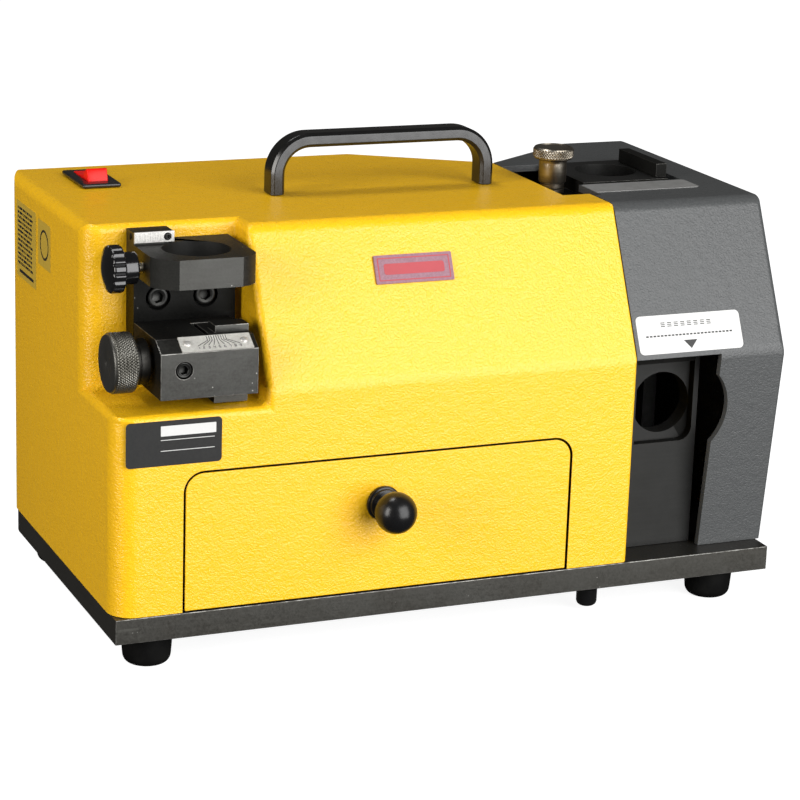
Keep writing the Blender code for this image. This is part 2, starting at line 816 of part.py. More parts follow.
for side, x in zip(("left", "right"), SCREWS_X):
    screw = place(
        "bracket_screw_" + side,
        turned(
            "Y",
            (x, SCREWS_Z),
            [
                (38.2, 0.0),
                (38.2, 4.5),
                (38.7, 5.0),
                (43.6, 5.0),
                (43.6, 3.0),
                (58.0, 3.0),
                (58.0, 0.0),
            ],
            24,
        ),
        BLACKENED,
        (x, BRACKET_Y0, SCREWS_Z),
    )
    combine(screw, [tool(prism(hexagon((x, SCREWS_Z), 5.0, 12.0), "Y", 30, 41.6))])
    soften(screw)

bracket_scale = place(
    "bracket_scale",
    box((19.8, BRACKET_Y0 - GAP - 1.1, 171.0), (39.3, BRACKET_Y0 - GAP, 176.1)),
    SILVER,
)
combine(bracket_scale, [tool(rod("Y", (36.0, 173.5), 1.9, 30, 44, 16))])
soften(bracket_scale)
scale_screw = place(
    "scale_screw",
    turned(
        "Y",
        (36.0, 173.5),
        [(36.0, 0.0), (36.0, 1.4), (36.3, 1.6), (BRACKET_Y0 - GAP, 1.6), (BRACKET_Y0 - GAP, 1.0), (43.0, 1.0), (43.0, 0.0)],
        16,
    ),
    BLACKENED,
    (36.0, BRACKET_Y0, 173.5),
)
combine(scale_screw, [tool(prism(hexagon((36.0, 173.5), 1.5), "Y", 30, 37.2))])
soften(scale_screw)

# clamp screw of the ring: fluted knob, stud and pad on one axis
clamp_axis = (ARM_BORE[1], CLAMP_Z)
flutes = 14
knob_outline = []
for i in range(flutes * 4):
    angle = 2 * math.pi * (i + 0.5) / (flutes * 4)
    wave = math.cos(angle * flutes)
    knob_outline.append(
        (
            clamp_axis[0] + (10.75 + 0.5 * wave) * math.cos(angle),
            clamp_axis[1] + (10.75 + 0.5 * wave) * math.sin(angle),
        )
    )
clamp_knob = place(
    "clamp_knob", prism(knob_outline, "X", 3.0, 9.6), BLACK_GLOSS, (0.0, *clamp_axis)
)
combine(
    clamp_knob,
    [
        tool(
            turned(
                "X",
                clamp_axis,
                [(0.8, 0.0), (1.1, 4.0), (2.8, 10.0), (9.2, 10.0), (9.2, 7.6), (15.9, 7.6), (16.7, 6.9), (16.7, 0.0)],
                24,
            )
        )
    ],
    "UNION",
)
combine(clamp_knob, [tool(rod("X", clamp_axis, 2.8, 8.0, 20.0, 16))])
soften(clamp_knob)
place(
    "clamp_stud",
    turned("X", clamp_axis, [(8.4, 0.0), (8.4, 2.5), (24.6, 2.5), (24.6, 0.0)], 16),
    NICKEL,
    (0.0, *clamp_axis),
)
place(
    "clamp_pad",
    turned(
        "X",
        clamp_axis,
        [(24.9, 0.0), (24.9, 2.5), (28.9, 2.5), (29.4, 2.0), (29.4, 0.0)],
        16,
    ),
    STEEL,
    (24.9, *clamp_axis),
)

# ------------------------------------------- setting block, screw and jaw
BLOCK_X0, BLOCK_X1, BLOCK_Y0 = 20.0, 67.5, -3.5
BLOCK_Z0, BLOCK_Z1, BLOCK_FRONT_Z, BLOCK_TOP_Y = 106.0, 133.0, 128.0, 4.7
SCREW_Y, SCREW_Z = 15.0, 120.6
block = place(
    "setting_block",
    prism(
        [
            (BLOCK_Y0, BLOCK_Z0),
            (BRACKET_Y0 - GAP, BLOCK_Z0),
            (BRACKET_Y0 - GAP, BLOCK_Z1),
            (BLOCK_TOP_Y, BLOCK_Z1),
            (BLOCK_Y0, BLOCK_FRONT_Z),
        ],
        "X",
        BLOCK_X0,
        BLOCK_X1,
    ),
    BLACKENED,
)
combine(
    block,
    [
        tool(box((45.2, 9.6, 90), (80, 29.5, 150))),
        tool(rod("X", (SCREW_Y, SCREW_Z), 3.3, 10, 50, 20)),
        tool(rod("Y", (31.4, 119.7), 4.1, -10, 3.0, 24)),
    ],
)
soften(block)
set_screw = place(
    "block_set_screw",
    turned(
        "Y",
        (31.4, 119.7),
        [(-3.1, 0.0), (-3.1, 3.3), (-2.6, 3.8), (2.6, 3.8), (2.6, 0.0)],
        24,
    ),
    BLACKENED,
    (31.4, BLOCK_Y0, 119.7),
)
combine(set_screw, [tool(prism(hexagon((31.4, 119.7), 4.0, 8.0), "Y", -10, 0.6))])
soften(set_screw)

facet = Vector((BLOCK_TOP_Y - BLOCK_Y0, BLOCK_Z1 - BLOCK_FRONT_Z)).normalized()
out = Vector((-facet.y, facet.x))
low = Vector((BLOCK_Y0, BLOCK_FRONT_Z)) + facet * 0.3 + out * GAP
high = Vector((BLOCK_TOP_Y, BLOCK_Z1)) - facet * 0.2 + out * GAP
block_scale = place(
    "block_scale",
    prism(
        [tuple(low), tuple(high), tuple(high + out * 0.6), tuple(low + out * 0.6)],
        "X",
        30.3,
        65.0,
    ),
    SILVER,
)
middle = (low + high) / 2
rivet_turn = Matrix.Rotation(math.atan2(out.y, out.x) - math.pi / 2, 4, "X")
for side, x in (("left", 33.9), ("right", 61.4)):
    bm = turned(
        "Z",
        (0.0, 0.0),
        [(0.9, 0.0), (0.9, 1.7), (1.3, 1.5), (1.65, 0.9), (1.75, 0.0)],
        16,
    )
    bmesh.ops.transform(
        bm,
        matrix=Matrix.Translation((x, middle.x, middle.y)) @ rivet_turn,
        verts=bm.verts,
    )
    place("scale_rivet_" + side, bm, SILVER, (x, middle.x, middle.y))

JAW_X0, JAW_X1 = 47.4, 67.2
jaw = place(
    "sliding_jaw",
    box((JAW_X0, 10.0, 106.4), (JAW_X1, 29.1, 132.8)),
    BLACKENED,
    (JAW_X0, SCREW_Y, SCREW_Z),
)
combine(jaw, [tool(box((50.6, 10.0, 98.8), (JAW_X1, 20.0, 136.3)))], "UNION")
combine(jaw, [tool(rod("X", (SCREW_Y, SCREW_Z), 3.2, 40, 80, 20))])
soften(jaw)

knob_axis = (SCREW_Y, SCREW_Z)
place(
    "adjust_knob",
    turned(
        "X",
        knob_axis,
        [
            (-0.2, 0.0),
            (-0.2, 13.2),
            (0.7, 14.2),
            (10.9, 14.2),
            (11.7, 13.4),
            (11.7, 3.2),
            (4.0, 3.2),
            (4.0, 0.0),
        ],
        40,
    ),
    BLACKENED,
    (0.0, *knob_axis),
)
place(
    "adjust_collar",
    turned(
        "X",
        knob_axis,
        [(12.0, 3.2), (12.0, 10.2), (14.4, 11.0), (17.6, 11.0), (18.2, 10.4), (18.2, 3.2)],
        32,
        ring=True,
    ),
    BLACKENED,
    (0.0, *knob_axis),
)
place(
    "lead_screw",
    turned("X", knob_axis, [(4.4, 0.0), (4.4, 2.9), (66.4, 2.9), (66.8, 2.4), (66.8, 0.0)], 20),
    STEEL,
    (0.0, *knob_axis),
)

# --------------------------------------------------------- grinding shelves
SHELF_Y0, SHELF_Y1 = 20.0, 34.0
front_shelf = place(
    "front_shelf", box((268.4, SHELF_Y0, GAP), (314.3, SHELF_Y1, 112.0)), BLACKENED
)
pocket_r = 7.0
pocket = [(279.0, 55.2)] + arc((311.6 - pocket_r, 55.2 + pocket_r), pocket_r, -90, 0, 5) + [
    (311.6, 97.0),
    (279.0, 97.0),
]
combine(
    front_shelf,
    [
        tool(prism(pocket, "Y", 10.0, SHELF_Y0 + 5.0)),
        tool(rod("Y", SHELF_BORE, BORE_R - 0.3, 10.0, 45.0, 48)),
    ],
)
soften(front_shelf)

TOP_SHELF_Z0, TOP_SHELF_Z1 = 164.0, 177.9
top_shelf = place(
    "top_shelf",
    box((275.2, 83.0, TOP_SHELF_Z0), (324.3, 134.0, TOP_SHELF_Z1)),
    BLACKENED,
)
combine(
    top_shelf, [tool(box((254.8, 84.0, 158.0), (280.0, 104.5, 171.0)))], "UNION"
)
combine(
    top_shelf,
    [
        tool(rod("Z", TOP_BORE, BORE_R, 150, 190, 48)),
        tool(rod("Z", THUMB, 3.3, 150, 190, 16)),
    ],
)
soften(top_shelf)
place("stop_bar", box((318.1, 85.0, TOP_SHELF_Z1 + GAP), (324.3, 127.5, 185.4)), BLACKENED)
place("shelf_post", box((318.4, 85.0, GAP), (326.0, 133.5, TOP_SHELF_Z0 - GAP)), CAST)

place(
    "thumb_washer",
    turned("Z", THUMB, [(171.3, 3.3), (171.3, 6.3), (173.9, 6.3), (173.9, 3.3)], 28, ring=True),
    NICKEL,
    (*THUMB, 171.3),
)
place(
    "thumb_screw",
    turned(
        "Z",
        THUMB,
        [
            (161.5, 0.0),
            (161.5, 2.9),
            (174.2, 2.9),
            (174.2, 6.2),
            (176.6, 6.2),
            (177.2, 7.1),
            (188.9, 7.1),
            (188.9, 9.8),
            (189.6, 10.4),
            (193.6, 10.4),
            (194.4, 9.6),
            (194.4, 8.3),
            (193.3, 8.0),
            (193.3, 0.0),
        ],
        32,
    ),
    NICKEL,
    (*THUMB, 161.5),
)
place(
    "thumb_tip",
    turned("Z", THUMB, [(156.4, 0.0), (156.4, 2.4), (156.9, 2.9), (161.2, 2.9), (161.2, 0.0)], 20),
    STEEL,
    (*THUMB, 161.2),
)

# --------------------------------------------------------- motor and wheel
spin = (MOTOR_Y, MOTOR_Z)
place(
    "motor_housing",
    turned("X", spin, [(112.0, 33.0), (112.0, 36.0), (222.0, 36.0), (222.0, 33.0)], 40, ring=True),
    CAST,
)
place(
    "motor_bell_left",
    turned(
        "X",
        spin,
        [
            (100.0, 8.0),
            (100.0, 18.0),
            (106.0, 20.0),
            (108.0, 36.0),
            (111.7, 36.0),
            (111.7, 13.3),
            (101.6, 13.3),
            (101.6, 8.0),
        ],
        40,
        ring=True,
    ),
    CAST,
)
place(
    "motor_bell_right",
    turned(
        "X",
        spin,
        [
            (234.0, 8.0),
            (232.4, 8.0),
            (232.4, 13.3),
            (222.3, 13.3),
            (222.3, 36.0),
            (226.0, 36.0),
            (228.0, 20.0),
            (234.0, 18.0),
        ],
        40,
        ring=True,
    ),
    CAST,
)
for side, x0 in (("left", 102.4), ("right", 223.6)):
    place(
        "bearing_" + side,
        turned("X", spin, [(x0, 5.3), (x0, 13.0), (x0 + 8.0, 13.0), (x0 + 8.0, 5.3)], 28, ring=True),
        STEEL,
    )
place(
    "motor_shaft",
    turned(
        "X",
        spin,
        [(97.0, 0.0), (97.0, 5.0), (309.6, 5.0), (310.0, 4.6), (310.0, 0.0)],
        24,
    ),
    STEEL,
    (97.0, *spin),
)
place(
    "rotor",
    turned("X", spin, [(128.0, 5.3), (128.0, 24.0), (204.0, 24.0), (204.0, 5.3)], 36, ring=True),
    COPPER,
    (128.0, *spin),
)
mount = place("motor_mount", box((132.0, 88.0, GAP), (202.0, 136.0, 62.0)), CAST)
combine(mount, [tool(rod("X", spin, 36.3, 120, 215, 48))])
soften(mount)
place(
    "run_capacitor",
    turned(
        "X",
        (150.0, 17.6),
        [(20.0, 0.0), (20.0, 16.0), (21.0, 17.0), (88.0, 17.0), (89.0, 16.0), (89.0, 5.0), (93.0, 5.0), (93.0, 0.0)],
        28,
    ),
    WHITE,
)
place(
    "wheel_flange",
    turned(
        "X",
        spin,
        [(276.0, 5.3), (276.0, 12.0), (284.0, 20.0), (289.6, 20.0), (289.6, 9.8), (300.6, 9.8), (300.6, 5.3)],
        32,
        ring=True,
    ),
    STEEL,
    (276.0, *spin),
)
place(
    "grinding_wheel",
    turned(
        "X",
        spin,
        [(290.0, 10.1), (290.0, WHEEL_R - 7.0), (293.0, WHEEL_R), (297.0, WHEEL_R), (300.0, WHEEL_R - 7.0), (300.0, 10.1)],
        48,
        ring=True,
    ),
    ABRASIVE,
    (290.0, *spin),
)
nut = place("wheel_nut", prism(hexagon(spin, 19.0), "X", 301.2, 307.8), STEEL, (301.2, *spin))
combine(nut, [tool(rod("X", spin, 5.3, 295, 315, 20))])
soften(nut)

# --------------------------------------------------------------- mains inlet
inlet = place(
    "mains_inlet", box((31.3, CASE_D + GAP, 24.5), (79.3, INLET_Y, 54.5)), BLACK_GLOSS
)
round_all(inlet, 0.8, 2)
combine(inlet, [tool(box((40.4, 164.0, 28.1), (70.2, CASE_D + 1.0, 50.9)))], "UNION")
combine(inlet, [tool(box((43.3, 171.0, 31.5), (67.3, 200.0, 47.5)))])
for x, z in ((48.3, 37.0), (55.3, 42.0), (62.3, 37.0)):
    combine(
        inlet,
        [tool(box((x - 1.0, 169.0, z - 2.0), (x + 1.0, 184.0, z + 2.0)))],
        "UNION",
    )
soften(inlet)

# ---------------------------------------------------------------- name plate
slope = Vector((TOP_Y, TOP_Z - CREASE_Z)).normalized()
out = Vector((-slope.y, slope.x))
foot_point = Vector((0.0, CREASE_Z)) + out * GAP
low = foot_point + slope * 46.4
high = foot_point + slope * 60.4
name_plate = place(
    "name_plate",
    prism(
        [tuple(low), tuple(high), tuple(high + out * 0.8), tuple(low + out * 0.8)],
        "X",
        135.2,
        175.7,
    ),
    LILAC,
)

# moving groups hang from an empty on their joint's axis
for name, spot, members in (
    ("drawer_slide", (knob_x, 0.0, knob_z), ("drawer_front", "drawer_tray", "drawer_knob")),
    ("clamp_axis", (0.0, *clamp_axis), ("clamp_knob", "clamp_stud")),
    ("adjust_axis", (0.0, *knob_axis), ("adjust_knob", "adjust_collar", "lead_screw")),
    (
        "spindle_axis",
        (97.0, *spin),
        ("motor_shaft", "rotor", "wheel_flange", "grinding_wheel", "wheel_nut"),
    ),
):
    empty = bpy.data.objects.new(name, None)
    empty.location = (Vector(spot) - ORIGIN) * MM
    bpy.context.scene.collection.objects.link(empty)
    bpy.context.view_layer.update()
    for member in members:
        piece = bpy.data.objects[member]
        piece.parent = empty
        piece.matrix_parent_inverse = empty.matrix_world.inverted()
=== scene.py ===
"""Looks for the bench drill sharpener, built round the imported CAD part.

Shapes are worked out in millimetres in the layout frame of the CAD (X along
the front from the base plate's left end, Y to the back, Z up from the plate's
top face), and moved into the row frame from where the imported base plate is.
"""

import math
import random

import bmesh
import bpy
from mathutils import Matrix, Vector


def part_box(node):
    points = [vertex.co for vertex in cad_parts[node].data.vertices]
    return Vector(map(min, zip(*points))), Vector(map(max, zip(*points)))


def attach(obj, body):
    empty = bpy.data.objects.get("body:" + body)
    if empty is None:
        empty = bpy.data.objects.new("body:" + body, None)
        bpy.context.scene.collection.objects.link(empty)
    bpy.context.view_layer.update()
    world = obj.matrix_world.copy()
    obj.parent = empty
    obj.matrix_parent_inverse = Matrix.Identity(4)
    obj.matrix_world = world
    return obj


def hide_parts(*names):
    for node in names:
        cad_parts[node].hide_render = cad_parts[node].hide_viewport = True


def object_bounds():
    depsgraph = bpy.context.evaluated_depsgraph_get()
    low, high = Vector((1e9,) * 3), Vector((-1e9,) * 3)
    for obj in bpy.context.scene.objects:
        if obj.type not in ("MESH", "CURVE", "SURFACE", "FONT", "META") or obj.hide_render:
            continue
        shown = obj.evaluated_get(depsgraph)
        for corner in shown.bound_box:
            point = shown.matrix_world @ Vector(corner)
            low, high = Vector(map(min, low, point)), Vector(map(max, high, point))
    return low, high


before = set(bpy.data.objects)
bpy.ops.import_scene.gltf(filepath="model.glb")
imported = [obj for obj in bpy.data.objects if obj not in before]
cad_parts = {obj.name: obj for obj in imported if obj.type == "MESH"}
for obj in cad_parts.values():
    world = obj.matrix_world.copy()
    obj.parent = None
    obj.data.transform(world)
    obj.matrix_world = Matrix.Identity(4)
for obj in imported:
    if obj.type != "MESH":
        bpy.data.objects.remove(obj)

cad_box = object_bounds()
random.seed(7)

MM = 0.001
plate_low, plate_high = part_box("base_plate")
SHIFT = Vector((plate_low.x, plate_low.y, plate_high.z)) / MM  # layout to row, in mm
PLATE_L = (plate_high.x - plate_low.x) / MM
PLATE_D = (plate_high.y - plate_low.y) / MM
PLATE_T = (plate_high.z - plate_low.z) / MM


def row(point):
    return (Vector(point) + SHIFT) * MM


def cad(node):
    """Lowest and highest corner of a CAD node, in layout millimetres."""
    low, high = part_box(node)
    return low / MM - SHIFT, high / MM - SHIFT


# ======================================================== shader helpers
class Graph:
    """A material's node tree, with short ways to add nodes to it."""

    def __init__(self, name):
        self.material = bpy.data.materials.new(name)
        self.material.use_nodes = True
        self.tree = self.material.node_tree
        self.tree.nodes.clear()
        self.out = self.add("ShaderNodeOutputMaterial")
        self.shader = self.add("ShaderNodeBsdfPrincipled")
        self.link(self.shader, "BSDF", self.out, "Surface")
        self.coords = self.add("ShaderNodeTexCoord")

    def add(self, kind, **values):
        node = self.tree.nodes.new(kind)
        for key, value in values.items():
            setattr(node, key, value)
        return node

    def link(self, a, out, b, into):
        self.tree.links.new(a.outputs[out], b.inputs[into])

    def mapped(self, scale=(1, 1, 1), turn=(0, 0, 0)):
        node = self.add("ShaderNodeMapping")
        node.inputs["Scale"].default_value = scale
        node.inputs["Rotation"].default_value = turn
        self.link(self.coords, "Object", node, "Vector")
        return node

    def noise(self, scale, detail=2.0, rough=0.5, distortion=0.0, source=None):
        node = self.add("ShaderNodeTexNoise")
        node.inputs["Scale"].default_value = scale
        node.inputs["Detail"].default_value = detail
        node.inputs["Roughness"].default_value = rough
        node.inputs["Distortion"].default_value = distortion
        if source is None:
            self.link(self.coords, "Object", node, "Vector")
        else:
            self.link(source, "Vector", node, "Vector")
        return node

    def cells(self, scale, feature="F1", source=None, smooth=None):
        node = self.add("ShaderNodeTexVoronoi", feature=feature)
        node.inputs["Scale"].default_value = scale
        if smooth is not None:
            node.inputs["Smoothness"].default_value = smooth
        if source is None:
            self.link(self.coords, "Object", node, "Vector")
        else:
            self.link(source, "Vector", node, "Vector")
        return node

    def ramp(self, source, out, low, high, a=(0, 0, 0, 1), b=(1, 1, 1, 1)):
        node = self.add("ShaderNodeValToRGB")
        node.color_ramp.elements[0].position = low
        node.color_ramp.elements[0].color = a
        node.color_ramp.elements[1].position = high
        node.color_ramp.elements[1].color = b
        self.link(source, out, node, "Fac")
        return node

    def span(self, source, out, low, high, a, b):
        node = self.add("ShaderNodeMapRange")
        for key, value in zip(("From Min", "From Max", "To Min", "To Max"), (low, high, a, b)):
            node.inputs[key].default_value = value
        self.link(source, out, node, "Value")
        return node

    def blend(self, factor, out, a, b):
        """Mixes two colours, or a colour node with a colour."""
        node = self.add("ShaderNodeMix", data_type="RGBA")
        self.link(factor, out, node, "Factor") if factor else None
        for socket, value in ((node.inputs[6], a), (node.inputs[7], b)):
            if isinstance(value, tuple):
                socket.default_value = (*value[:3], 1.0)
            else:
                self.tree.links.new(value.outputs[2 if value.bl_idname == "ShaderNodeMix" else 0], socket)
        return node

    def bump(self, source, out, strength, distance, before=None):
        node = self.add("ShaderNodeBump")
        node.inputs["Strength"].default_value = strength
        node.inputs["Distance"].default_value = distance
        self.link(source, out, node, "Height")
        if before is not None:
            self.link(before, "Normal", node, "Normal")
        return node

    def colour(self, node, out=None):
        index = out if out is not None else (2 if node.bl_idname == "ShaderNodeMix" else 0)
        self.tree.links.new(node.outputs[index], self.shader.inputs["Base Color"])

    def set(self, **values):
        names = {
            "rough": "Roughness",
            "metal": "Metallic",
            "spec": "Specular IOR Level",
            "coat": "Coat Weight",
            "coat_rough": "Coat Roughness",
            "sheen": "Sheen Weight",
            "base": "Base Color",
        }
        for key, value in values.items():
            self.shader.inputs[names[key]].default_value = value
        return self

    def feed(self, node, out, name):
        self.link(node, out, self.shader, name)


def powder_coat(name, light, dark, rough, pitch, depth, spec=0.5, pit_shade=0.35, turn=(0.5, 0.6, 0.3)):
    """Baked powder paint: small soft bumps, drawn out a little and run together, with painted shade in the troughs
    between them.
    """
    g = Graph(name)
    drawn = g.mapped((1.0, 0.62, 1.25), turn)
    lumps = g.noise(1 / pitch, 1.5, 0.45, 0.55, drawn)
    fine = g.noise(2.4 / pitch, 2.0, 0.5, 0.3, drawn)
    sag = g.noise(0.22 / pitch, 2.0, 0.5)
    broad = g.noise(8.0, 2.0)
    height = g.add("ShaderNodeMath", operation="MULTIPLY_ADD")
    g.link(fine, "Fac", height, 0)
    height.inputs[1].default_value = 0.22
    g.link(lumps, "Fac", height, 2)
    swell = g.add("ShaderNodeMath", operation="MULTIPLY_ADD")
    g.link(sag, "Fac", swell, 0)
    swell.inputs[1].default_value = 0.9
    g.link(height, "Value", swell, 2)
    g.feed(g.bump(swell, "Value", 1.0, depth), "Normal", "Normal")
    tone = g.blend(g.ramp(broad, "Fac", 0.3, 0.7), "Color", light, tuple(0.94 * c + 0.06 * d for c, d in zip(light, dark)))
    # painted shade: the colour moves toward the dark tone in the low troughs of the lumps
    pit = g.span(lumps, "Fac", 0.28, 0.60, pit_shade, 0.0)
    g.colour(g.blend(pit, "Result", tone, dark))
    g.feed(g.span(fine, "Fac", 0.3, 0.7, rough - 0.05, rough + 0.07), "Result", "Roughness")
    return g.set(spec=spec).material


def blackened(name, tone=(0.056, 0.056, 0.052), brown=(0.034, 0.033, 0.030), rough=0.37, metal=0.85, grain=(60, 60, 700), dusty=0.6, marks=0.5, spec=0.5):
    """Oil-blackened steel: fine sooty grain, grinding marks, short scratches and a little dust."""
    g = Graph(name)
    clouds = g.noise(38.0, 4.0, 0.55, 0.3)
    soot = g.noise(900.0, 3.0, 0.65)
    grind = g.noise(1.0, 3.0, 0.6, 0.0, g.mapped(grain))
    base = g.blend(g.ramp(clouds, "Fac", 0.32, 0.7), "Color", brown, tone)
    base = g.blend(g.span(soot, "Fac", 0.35, 0.68, 0.0, 0.4), "Result", base, tuple(1.45 * c for c in tone))
    base = g.blend(g.span(grind, "Fac", 0.4, 0.75, 0.0, 0.2), "Result", base, tuple(1.5 * c for c in tone))
    # short straight scratches: thin ridges of a stretched noise, only here and there
    streak = g.noise(1.0, 1.0, 0.4, 0.0, g.mapped((45, 900, 320), (0.35, 0.25, 0.6)))
    ridge = g.span(streak, "Fac", 0.735, 0.75, 0.0, 0.8)
    where = g.noise(26.0, 1.0)
    some = g.span(where, "Fac", 0.55, 0.62, 0.0, marks)
    both = g.add("ShaderNodeMath", operation="MULTIPLY")
    g.link(ridge, "Result", both, 0)
    g.link(some, "Result", both, 1)
    base = g.blend(both, "Value", base, tuple(min(1.0, 2.6 * c) for c in tone))
    dust = g.cells(330.0, "F1")
    dot = g.span(dust, "Distance", 0.06, 0.13, 1.0, 0.0)
    rare = g.noise(110.0, 1.0)
    rare_ramp = g.span(rare, "Fac", 0.62, 0.67, 0.0, dusty)
    speck = g.add("ShaderNodeMath", operation="MULTIPLY")
    g.link(dot, "Result", speck, 0)
    g.link(rare_ramp, "Result", speck, 1)
    base = g.blend(speck, "Value", base, (0.62, 0.61, 0.57))
    g.colour(base)
    g.feed(g.span(soot, "Fac", 0.3, 0.7, rough - 0.08, rough + 0.10), "Result", "Roughness")
    first = g.bump(grind, "Fac", 0.2, 0.00005)
    g.feed(g.bump(soot, "Fac", 0.35, 0.00006, first), "Normal", "Normal")
    return g.set(metal=metal, spec=spec).material


def rubbed_edge(name, bright=(0.24, 0.235, 0.22), dull=(0.075, 0.072, 0.066)):
    """An edge where the black finish has rubbed through in places."""
    g = Graph(name)
    patches = g.noise(160.0, 4.0, 0.65, 0.6)
    g.colour(g.blend(g.ramp(patches, "Fac", 0.38, 0.62), "Color", dull, bright))
    g.feed(g.span(patches, "Fac", 0.3, 0.7, 0.5, 0.36), "Result", "Roughness")
    g.feed(g.bump(patches, "Fac", 0.3, 0.00008), "Normal", "Normal")
    return g.set(metal=0.9).material


def turned_metal(name, light, dark, rough, axis=2, metal=1.0, rings=1400.0):
    """Lathe-turned metal: fine rings along its axis over a cloudy tone."""
    g = Graph(name)
    scale = [18.0, 18.0, 18.0]
    scale[axis] = rings
    marks = g.noise(1.0, 2.5, 0.6, 0.0, g.mapped(tuple(scale)))
    clouds = g.noise(90.0, 4.0, 0.6, 0.5)
    tone = g.blend(g.ramp(clouds, "Fac", 0.35, 0.68), "Color", dark, light)
    g.colour(g.blend(g.span(marks, "Fac", 0.4, 0.75, 0.0, 0.35), "Result", tone, tuple(min(1.0, 1.25 * c) for c in light)))
    g.feed(g.span(clouds, "Fac", 0.3, 0.7, rough + 0.1, rough - 0.05), "Result", "Roughness")
    g.feed(g.bump(marks, "Fac", 0.3, 0.00005), "Normal", "Normal")
    return g.set(metal=metal).material


def gloss(name, base, tint, rough, spec=0.5, wave=0.00004, scale=120.0, coat=0.0):
    """Moulded plastic or enamel: faint long waves, tiny specks of dust."""
    g = Graph(name)
    waves = g.noise(scale, 2.0, 0.4)
    dust = g.noise(2400.0, 1.0)
    g.colour(g.blend(g.span(dust, "Fac", 0.66, 0.74, 0.0, 0.5), "Result", base, tint))
    g.feed(g.span(waves, "Fac", 0.3, 0.7, rough - 0.03, rough + 0.05), "Result", "Roughness")
    g.feed(g.bump(waves, "Fac", 0.5, wave), "Normal", "Normal")
    return g.set(spec=spec, coat=coat, coat_rough=0.08).material


def rubber(name):
    g = Graph(name)
    grain = g.noise(1500.0, 3.0, 0.6)
    bloom = g.noise(70.0, 4.0, 0.6)
    g.colour(g.blend(g.ramp(bloom, "Fac", 0.4, 0.8), "Color", (0.004, 0.004, 0.004), (0.009, 0.009, 0.0085)))
    g.feed(g.span(bloom, "Fac", 0.3, 0.7, 0.55, 0.75), "Result", "Roughness")
    g.feed(g.bump(grain, "Fac", 0.35, 0.00008), "Normal", "Normal")
    return g.set(spec=0.05).material


def plate_metal(name, light, dark, rough, metal, grain=260.0, bump=0.00006, contrast=(0.35, 0.65)):
    """Thin printed or frosted metal plate, grainy up close."""
    g = Graph(name)
    grains = g.noise(grain * 5, 3.0, 0.7)
    stain = g.noise(grain, 4.0, 0.6, 0.5)
    tone = g.blend(g.ramp(grains, "Fac", *contrast), "Color", dark, light)
    g.colour(g.blend(g.span(stain, "Fac", 0.45, 0.8, 0.0, 0.5), "Result", tone, tuple(0.75 * c for c in dark)))
    g.feed(g.span(grains, "Fac", 0.3, 0.7, rough - 0.06, rough + 0.08), "Result", "Roughness")
    g.feed(g.bump(grains, "Fac", 0.4, bump), "Normal", "Normal")
    return g.set(metal=metal).material


def film(name, base, shade, rough=0.35, spec=0.45):
    """Printed vinyl label."""
    g = Graph(name)
    fibre = g.noise(900.0, 3.0, 0.6)
    soil = g.noise(60.0, 4.0, 0.6)
    tone = g.blend(g.span(fibre, "Fac", 0.35, 0.75, 0.0, 0.35), "Result", base, shade)
    g.colour(g.blend(g.span(soil, "Fac", 0.5, 0.8, 0.0, 0.35), "Result", tone, shade))
    g.feed(g.span(fibre, "Fac", 0.3, 0.7, rough - 0.05, rough + 0.06), "Result", "Roughness")
    g.feed(g.bump(fibre, "Fac", 0.2, 0.00002), "Normal", "Normal")
    return g.set(spec=spec).material


def cast(name, light, dark, rough=0.55, metal=0.8, scale=420.0, depth=0.0002):
    g = Graph(name)
    grains = g.noise(scale, 4.0, 0.65)
    stain = g.noise(45.0, 4.0, 0.6)
    g.colour(g.blend(g.ramp(stain, "Fac", 0.35, 0.7), "Color", dark, light))
    g.feed(g.span(grains, "Fac", 0.3, 0.7, rough - 0.1, rough + 0.12), "Result", "Roughness")
    g.feed(g.bump(grains, "Fac", 0.6, depth), "Normal", "Normal")
    return g.set(metal=metal).material


def abrasive(name):
    g = Graph(name)
    grit = g.cells(1500.0, "F1")
    clouds = g.noise(200.0, 3.0)
    base = g.blend(g.ramp(clouds, "Fac", 0.35, 0.65), "Color", (0.09, 0.095, 0.10), (0.16, 0.165, 0.16))
    g.colour(g.blend(g.span(grit, "Distance", 0.1, 0.3, 0.8, 0.0), "Result", base, (0.5, 0.5, 0.46)))
    g.feed(g.bump(grit, "Distance", 0.8, 0.0003), "Normal", "Normal")
    return g.set(rough=0.85, spec=0.4).material


YELLOW = powder_coat("skin_yellow", (0.93, 0.53, 0.010), (0.86, 0.43, 0.005), 0.31, 0.00125, 0.00036, 0.5, 0.28)
GREY = powder_coat("skin_grey", (0.073, 0.076, 0.077), (0.046, 0.049, 0.050), 0.42, 0.00105, 0.00022, 0.5, 0.45)
STEEL_BLACK = blackened("steel_black")
# a near-black copy of the blackened steel: painted shade for the recessed back plate of the bracket
STEEL_RECESS_SHADE = blackened("steel_recess_shade", (0.0075, 0.0075, 0.0070), (0.0045, 0.0045, 0.0040), 0.42, 0.95)
# a darker, flat copy of the blackened steel: painted shade for faces that face up or to the left
STEEL_MID_SHADE = blackened("steel_mid_shade", (0.020, 0.020, 0.0185), (0.014, 0.014, 0.0125), 0.48, 0.0, spec=0.06)
STEEL_SHADE = blackened("steel_shade", (0.0080, 0.0080, 0.0075), (0.0055, 0.0055, 0.005), 0.48, 0.0, spec=0.05)
STEEL_SIDE = blackened("steel_base", (0.062, 0.061, 0.055), (0.047, 0.044, 0.038), 0.40, 0.8, (14, 14, 700), 0.35, 0.3)
